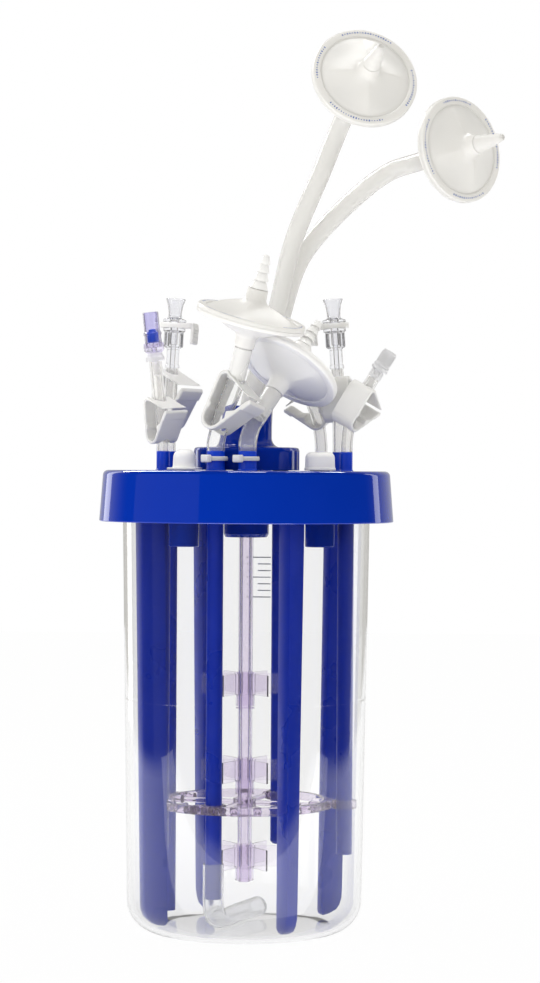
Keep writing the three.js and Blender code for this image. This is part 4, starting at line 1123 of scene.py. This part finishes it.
def buildLines():
    for node, way in lineRoutes.items():
        facts = ports[node]
        size = lineSizes[facts["size"]]
        x, y = facts["spot"]
        top, stub = plate["top"], size["stub"]
        points = [(x, y, z) for z in (top + 1, top + stub / 2, top + stub + 0.5, top + stub + 4)]
        points += [(x + right, y + back, top + up) for right, back, up in way["route"]]
        if "filter" in way:
            points += behindFilter(way["filter"])
        path = smoothPath(points, 10)
        linePaths[node] = path
        finish = lineFinishes[facts["size"]]
        name = "".join(word.title() for word in node.split("_"))
        mesh = sweptMesh(path, size["radius"], size["bore"], 40)
        piece = finishMesh(name[0].lower() + name[1:], mesh, finish, 40)
        if node in ("line_3", "line_4"):  # the tube end over the barb gets a milky finish: partly the white barb seen through it, partly painted light over the nipple's shade inside the tube
            dressed(piece.data, "milkyTubingPaintedLight")
            end = Vector(path[-1]) * mm
            for face in piece.data.polygons:
                if (face.center - end).length < overBarbLength:
                    face.material_index = 1
        mount(piece, node)


buildLines()


# zip ties low on the two front lines
def buildZipTies():
    size = {"inner": 5.5, "band": 1.2, "width": 2.5, "level": 5.5, "head": (3.5, 6.0, 4.3), "turn": 45}
    for number, node in enumerate(("line_3", "line_4"), 1):
        x, y = ports[node]["spot"]
        z = plate["top"] + size["level"]
        place = at(x, y, z)
        outer = size["inner"] + size["band"]
        strap = turnedMesh(band(size["inner"], outer, 0, size["width"]), 56, place, 0.5, True)
        long, wide, high = size["head"]
        block = [(x * long / 2, z * high / 2) for x, z in ((-1, -1), (1, -1), (1, 1), (-1, 1))]
        head = prismMesh(eased(block, 0.9, True), wide, place @ spun(size["turn"])
                         @ at(-outer - 0.3 * long, 0, size["width"] / 2), 0.5)
        teeth = grown(blockRing, {"Count": 26, "Radius": outer + 0.02, "Length": 0.25, "Width": 0.55,
                                  "Height": size["width"] * 0.55, "Turn": -2.4, "Arc": 2.6,
                                  "Level": size["width"] / 2, "Finish": "whiteSoft"}, place)
        tie = joined(f"zipTie{number}", [strap, head, teeth], "whiteSoft", 34)
        mount(tie, f"zip_tie_{number}")


buildZipTies()


# pinch clamps: one strip with a back arm, a hook over the top, a bend and an open lever
clampForm = {"length": 27, "width": 16, "wall": 1.6, "back": 6.5, "bend": 6, "corner": 4, "reach": 14.2, "drop": 7.5,
             "angle": 53, "lever": 18.5, "step": 0.7}
clamps = {
    "pinch_clamp_1": {"line": "line_1", "rise": 29, "lever": -54},
    "pinch_clamp_2": {"line": "line_2", "rise": 42, "lever": -50, "scale": 1.3},
    "pinch_clamp_3": {"line": "line_3", "rise": 38, "lever": -34, "scale": 1.3},
    "pinch_clamp_4": {"line": "line_5", "rise": 37.5, "lever": 53},
    "pinch_clamp_5": {"line": "line_6", "rise": 42, "lever": 70},
    "pinch_clamp_6": {"line": "line_7", "rise": 38, "lever": 165},
}


def clampOutline(scale):
    form = clampForm
    half, back, wall = form["length"] / 2, -form["back"], form["wall"]
    bendX, bendZ = back + form["bend"], -half + form["bend"]
    cornerX, cornerZ = back + form["corner"], half - form["corner"]
    start, way = math.radians(form["angle"] - 90), math.radians(form["angle"])

    def onLever(distance, depth):
        radius = form["bend"] - depth
        return (bendX + radius * math.cos(start) + distance * math.cos(way),
                bendZ + radius * math.sin(start) + distance * math.sin(way))

    reach, drop, long, step, inside = form["reach"], form["drop"], form["lever"], form["step"], back + wall
    low = form["angle"] - 90
    outline = [
        (reach, half - drop), *bow(cornerX, cornerZ, form["corner"], 90, 180, 8),
        *bow(bendX, bendZ, form["bend"], 180, 360 + low, 20),
        onLever(long * 0.72, 0), onLever(long * 0.74, -step), onLever(long, -step),
        onLever(long + 1, wall * 0.6), onLever(long - 1.4, wall), onLever(long * 0.56, wall),
        onLever(long * 0.36, wall + 2.2), onLever(long * 0.25, wall),
        *bow(bendX, bendZ, form["bend"] - wall, low, -180, 20),
        (inside, -5.5), (inside + 0.8, -4.2), (inside + 0.8, -2.8), (inside, -1.5),
        *bow(cornerX, cornerZ, form["corner"] - wall, 180, 90, 8),
        (reach - wall, half - drop + 0.1),
    ]
    return eased([(x * scale, z * scale) for x, z in outline], 0.7, True, 3, 25)


def lineAt(path, height):
    k = int(np.argmax(path[:, 2] >= height))
    share = (height - path[k - 1, 2]) / (path[k, 2] - path[k - 1, 2])
    way = path[k] - path[k - 1]
    return path[k - 1] + way * share, way / np.linalg.norm(way)


def buildClamps():
    for node, facts in clamps.items():
        path, scale = linePaths[facts["line"]], facts.get("scale", 1)
        tube = lineSizes[ports[facts["line"]]["size"]]["radius"]
        spot, along = lineAt(path, plate["top"] + facts["rise"])
        towards = np.array([math.cos(math.radians(facts["lever"])), math.sin(math.radians(facts["lever"])), 0])
        across = np.cross(along, towards)
        across /= np.linalg.norm(across)
        out = np.cross(across, along)
        place = Matrix([[*row, s] for row, s in zip(np.stack([out, across, along], axis=1), spot)] + [[0, 0, 0, 1]])
        strip = prismMesh(clampOutline(scale), clampForm["width"], place, 0.5)
        piece = finishMesh(node.replace("pinch_clamp_", "pinchClamp"), strip, "whiteClamp", 40)
        near = np.abs((path - spot) @ along) < 26 * scale
        carve(piece, sweptMesh(path[near], tube + 0.3, 0, 32))
        shade(piece)
        mount(piece, node)
    print("clamps done")


buildClamps()


# fittings on the small lines
def lineEnd(node, spin=0.0):
    path = linePaths[node]
    way = path[-1] - path[-2]
    return stand(path[-1], way, spin)


def hollow(outline, bore=1.1):
    return [(bore if r == 0 else r, z) for r, z in outline]


def buildValve():
    place = lineEnd("line_1")
    foot = turnedMesh(
        hollow([(0, -8), (1.6, -8), (2.0, -7.4), (2.0, 0.3), (5.3, 0.3), (5.35, 2.4), (4.6, 3.4), (4.2, 5), (4.2, 6.2),
                (0, 6.2)]), 48, place, 0.35, True)
    dressed(foot, "frosted")
    barrel = turnedMesh(
        [(3.52, 10.8), (4.95, 10.8), (4.75, 15), (5.2, 15.4), (5.2, 16.8), (4.6, 17.2), (4.55, 28.0), (4.3, 28.5),
         (3.6, 28.5)], 64, place, 0.35, True)
    skirt = turnedMesh(
        [(1.1, 5.0), (4.3, 5.0), (5.3, 5.9), (5.9, 6.6), (5.9, 8.6), (5.0, 10.6), (4.98, 10.8), (3.5, 10.8), (3.5, 8),
         (1.1, 8)], 64, place, 0.35, True)
    dressed(skirt, "violetPale")
    ribs = grown(blockRing, {"Count": 8, "Radius": 5.1, "Length": 1.5, "Width": 0.8, "Height": 2.6, "Level": 9.4,
                             "Finish": "violetPale"}, place)
    body = joined("valveBody", [foot, barrel, skirt, ribs], "violetDeep", 34)
    mount(body, "valve_body")
    piston = turnedMesh(
        [(0, 11.3), (3.2, 11.3), (3.2, 16.3), (2.1, 17.3), (2.1, 18.5), (0, 18.8)], 48, place, 0.4)
    core = finishMesh("valvePiston", piston, "valveBlue", 34)
    mount(core, "valve_piston", "piston")


def buildCoupling(number, node, side):
    place = lineEnd(node)
    body = turnedMesh(
        [(1.1, -8), (1.6, -8), (2.0, -7.4), (2.0, 0.3), (4.2, 0.3), (4.2, 2.0), (3.7, 2.6), (3.7, 11.2), (4.3, 12),
         (5.6, 12.8), (5.6, 21.2), (6.6, 22.2), (6.6, 23.6), (3.1, 23.6), (3.1, 27.2), (6.8, 27.2), (6.8, 28.8),
         (5.4, 29.2), (4.0, 29.8), (3.9, 31), (4.05, 34), (4.6, 37.5), (5.8, 40.7), (5.65, 41), (5.2, 41),
         (4.0, 37.3), (3.35, 33.5), (3.1, 31), (1.6, 27.5), (1.6, 14), (1.1, 14)], 72, place, 0.4, True)
    ribs = grown(blockRing, {"Count": 10, "Radius": 5.55, "Length": 0.9, "Width": 0.9, "Height": 7.6, "Level": 17.2,
                             "Finish": "clearPart"}, place)
    piece = joined(f"couplingBody{number}", [body, ribs], "clearPart", 34)
    mount(piece, f"coupling_{number}_body")
    turned = place @ spun(side)
    slotRadius, travel, foot, thick = 3.5, 2.0, 23.9, 3.0
    rim = bow(travel, 0, slotRadius, -90, 90, 12) + bow(0, 0, slotRadius, 90, 270, 12)
    edge = eased([(-8, -4.5), (13.2, -4.5), (13.2, 4.5), (-8, 4.5)], 2.2, True, 5)
    slider = plateWithSlot(edge, rim, foot, thick, turned)
    thumb = prismMesh(
        eased([(11.4, foot + thick), (13.4, foot + thick), (14.0, foot + thick - 3), (13.6, foot + thick - 12),
               (12.2, foot + thick - 12.4), (11.8, foot + thick - 11.6), (12.2, foot + thick - 4), (11.4, foot)],
              0.8, True, 3), 9.0, turned, 0.5)
    grips = [prismMesh([(13.7, z), (14.15, z + 0.3), (14.15, z + 0.6), (13.7, z + 0.9)], 6.4, turned, 0.0)
             for z in (foot - 1.0, foot - 3.0, foot - 5.0)]
    latch = joined(f"couplingLatch{number}", [slider, thumb, *grips], "whiteClamp", 36)
    mount(latch, f"coupling_{number}_latch", f"latch_{number}")


def plateWithSlot(edge, rim, foot, thick, place):
    # flat plate with one slot, closed all round
    outer, inner = [np.array(p) for p in edge], [np.array(p) for p in rim]
    work = bmesh.new()
    rings = {}
    for label, points in (("outer", outer), ("inner", inner)):
        for level in (foot, foot + thick):
            rings[label, level] = [work.verts.new((p[0], p[1], level)) for p in points]
    for label in ("outer", "inner"):
        low, high = rings[label, foot], rings[label, foot + thick]
        for k in range(len(low)):
            n = (k + 1) % len(low)
            work.faces.new((low[k], low[n], high[n], high[k]))
    work.edges.ensure_lookup_table()
    for level in (foot, foot + thick):
        edges = []
        for label in ("outer", "inner"):
            ring = rings[label, level]
            for k in range(len(ring)):
                edges.append(work.edges.get((ring[k], ring[(k + 1) % len(ring)])))
        bmesh.ops.triangle_fill(work, edges=edges, use_beauty=True)
    bmesh.ops.recalc_face_normals(work, faces=work.faces)
    mesh = bpy.data.meshes.new("draft")
    work.to_mesh(mesh)
    work.free()
    mesh.transform(place)
    mesh.transform(Matrix.Scale(mm, 4))
    return mesh


def buildLuer():
    place = lineEnd("line_5")
    body = turnedMesh(
        hollow([(0, -8), (1.6, -8), (2.0, -7.4), (2.0, 0.3), (3.9, 0.3), (3.9, 2.0), (3.1, 3.4), (3.1, 5.0),
                (5.0, 5.8), (5.0, 7.5), (2.6, 7.5), (2.1, 16), (0, 16)]), 56, place, 0.3, True)
    dressed(body, "frosted")
    wings = grown(blockRing, {"Count": 6, "Radius": 3.3, "Length": 1.2, "Width": 0.8, "Height": 3.0, "Level": 3.6,
                              "Finish": "frosted"}, place)
    piece = joined("luerBody", [body, wings], "frosted", 34)
    mount(piece, "luer_body")
    cap = turnedMesh(
        [(0, 16.7), (2.9, 16.7), (3.0, 7.9), (4.5, 7.9), (4.7, 8.4), (4.7, 9.4), (4.2, 10.0), (4.2, 17.4),
         (3.6, 18.4), (0, 18.4)], 56, place, 0.35)
    grip = grown(blockRing, {"Count": 24, "Radius": 4.2, "Length": 0.45, "Width": 0.5, "Height": 6.6, "Level": 13.7,
                             "Finish": "frosted"}, place)
    piece = joined("luerCap", [cap, grip], "frosted", 34)
    mount(piece, "luer_cap", "cap")


def buildLinePlug():
    place = lineEnd("line_7")
    shape = turnedMesh(
        [(0, -8), (1.6, -8), (2.0, -7.4), (2.0, 0.3), (4.6, 0.3), (4.6, 2.0), (2.9, 2.6), (2.8, 9.0), (0, 9.6)],
        48, place, 0.4)
    plug = finishMesh("linePlug", shape, "whiteSoft", 34)
    mount(plug, "line_plug")


buildValve()
buildCoupling(1, "line_2", -20)
buildCoupling(2, "line_6", 162)
buildLuer()
buildLinePlug()
print("fittings done")
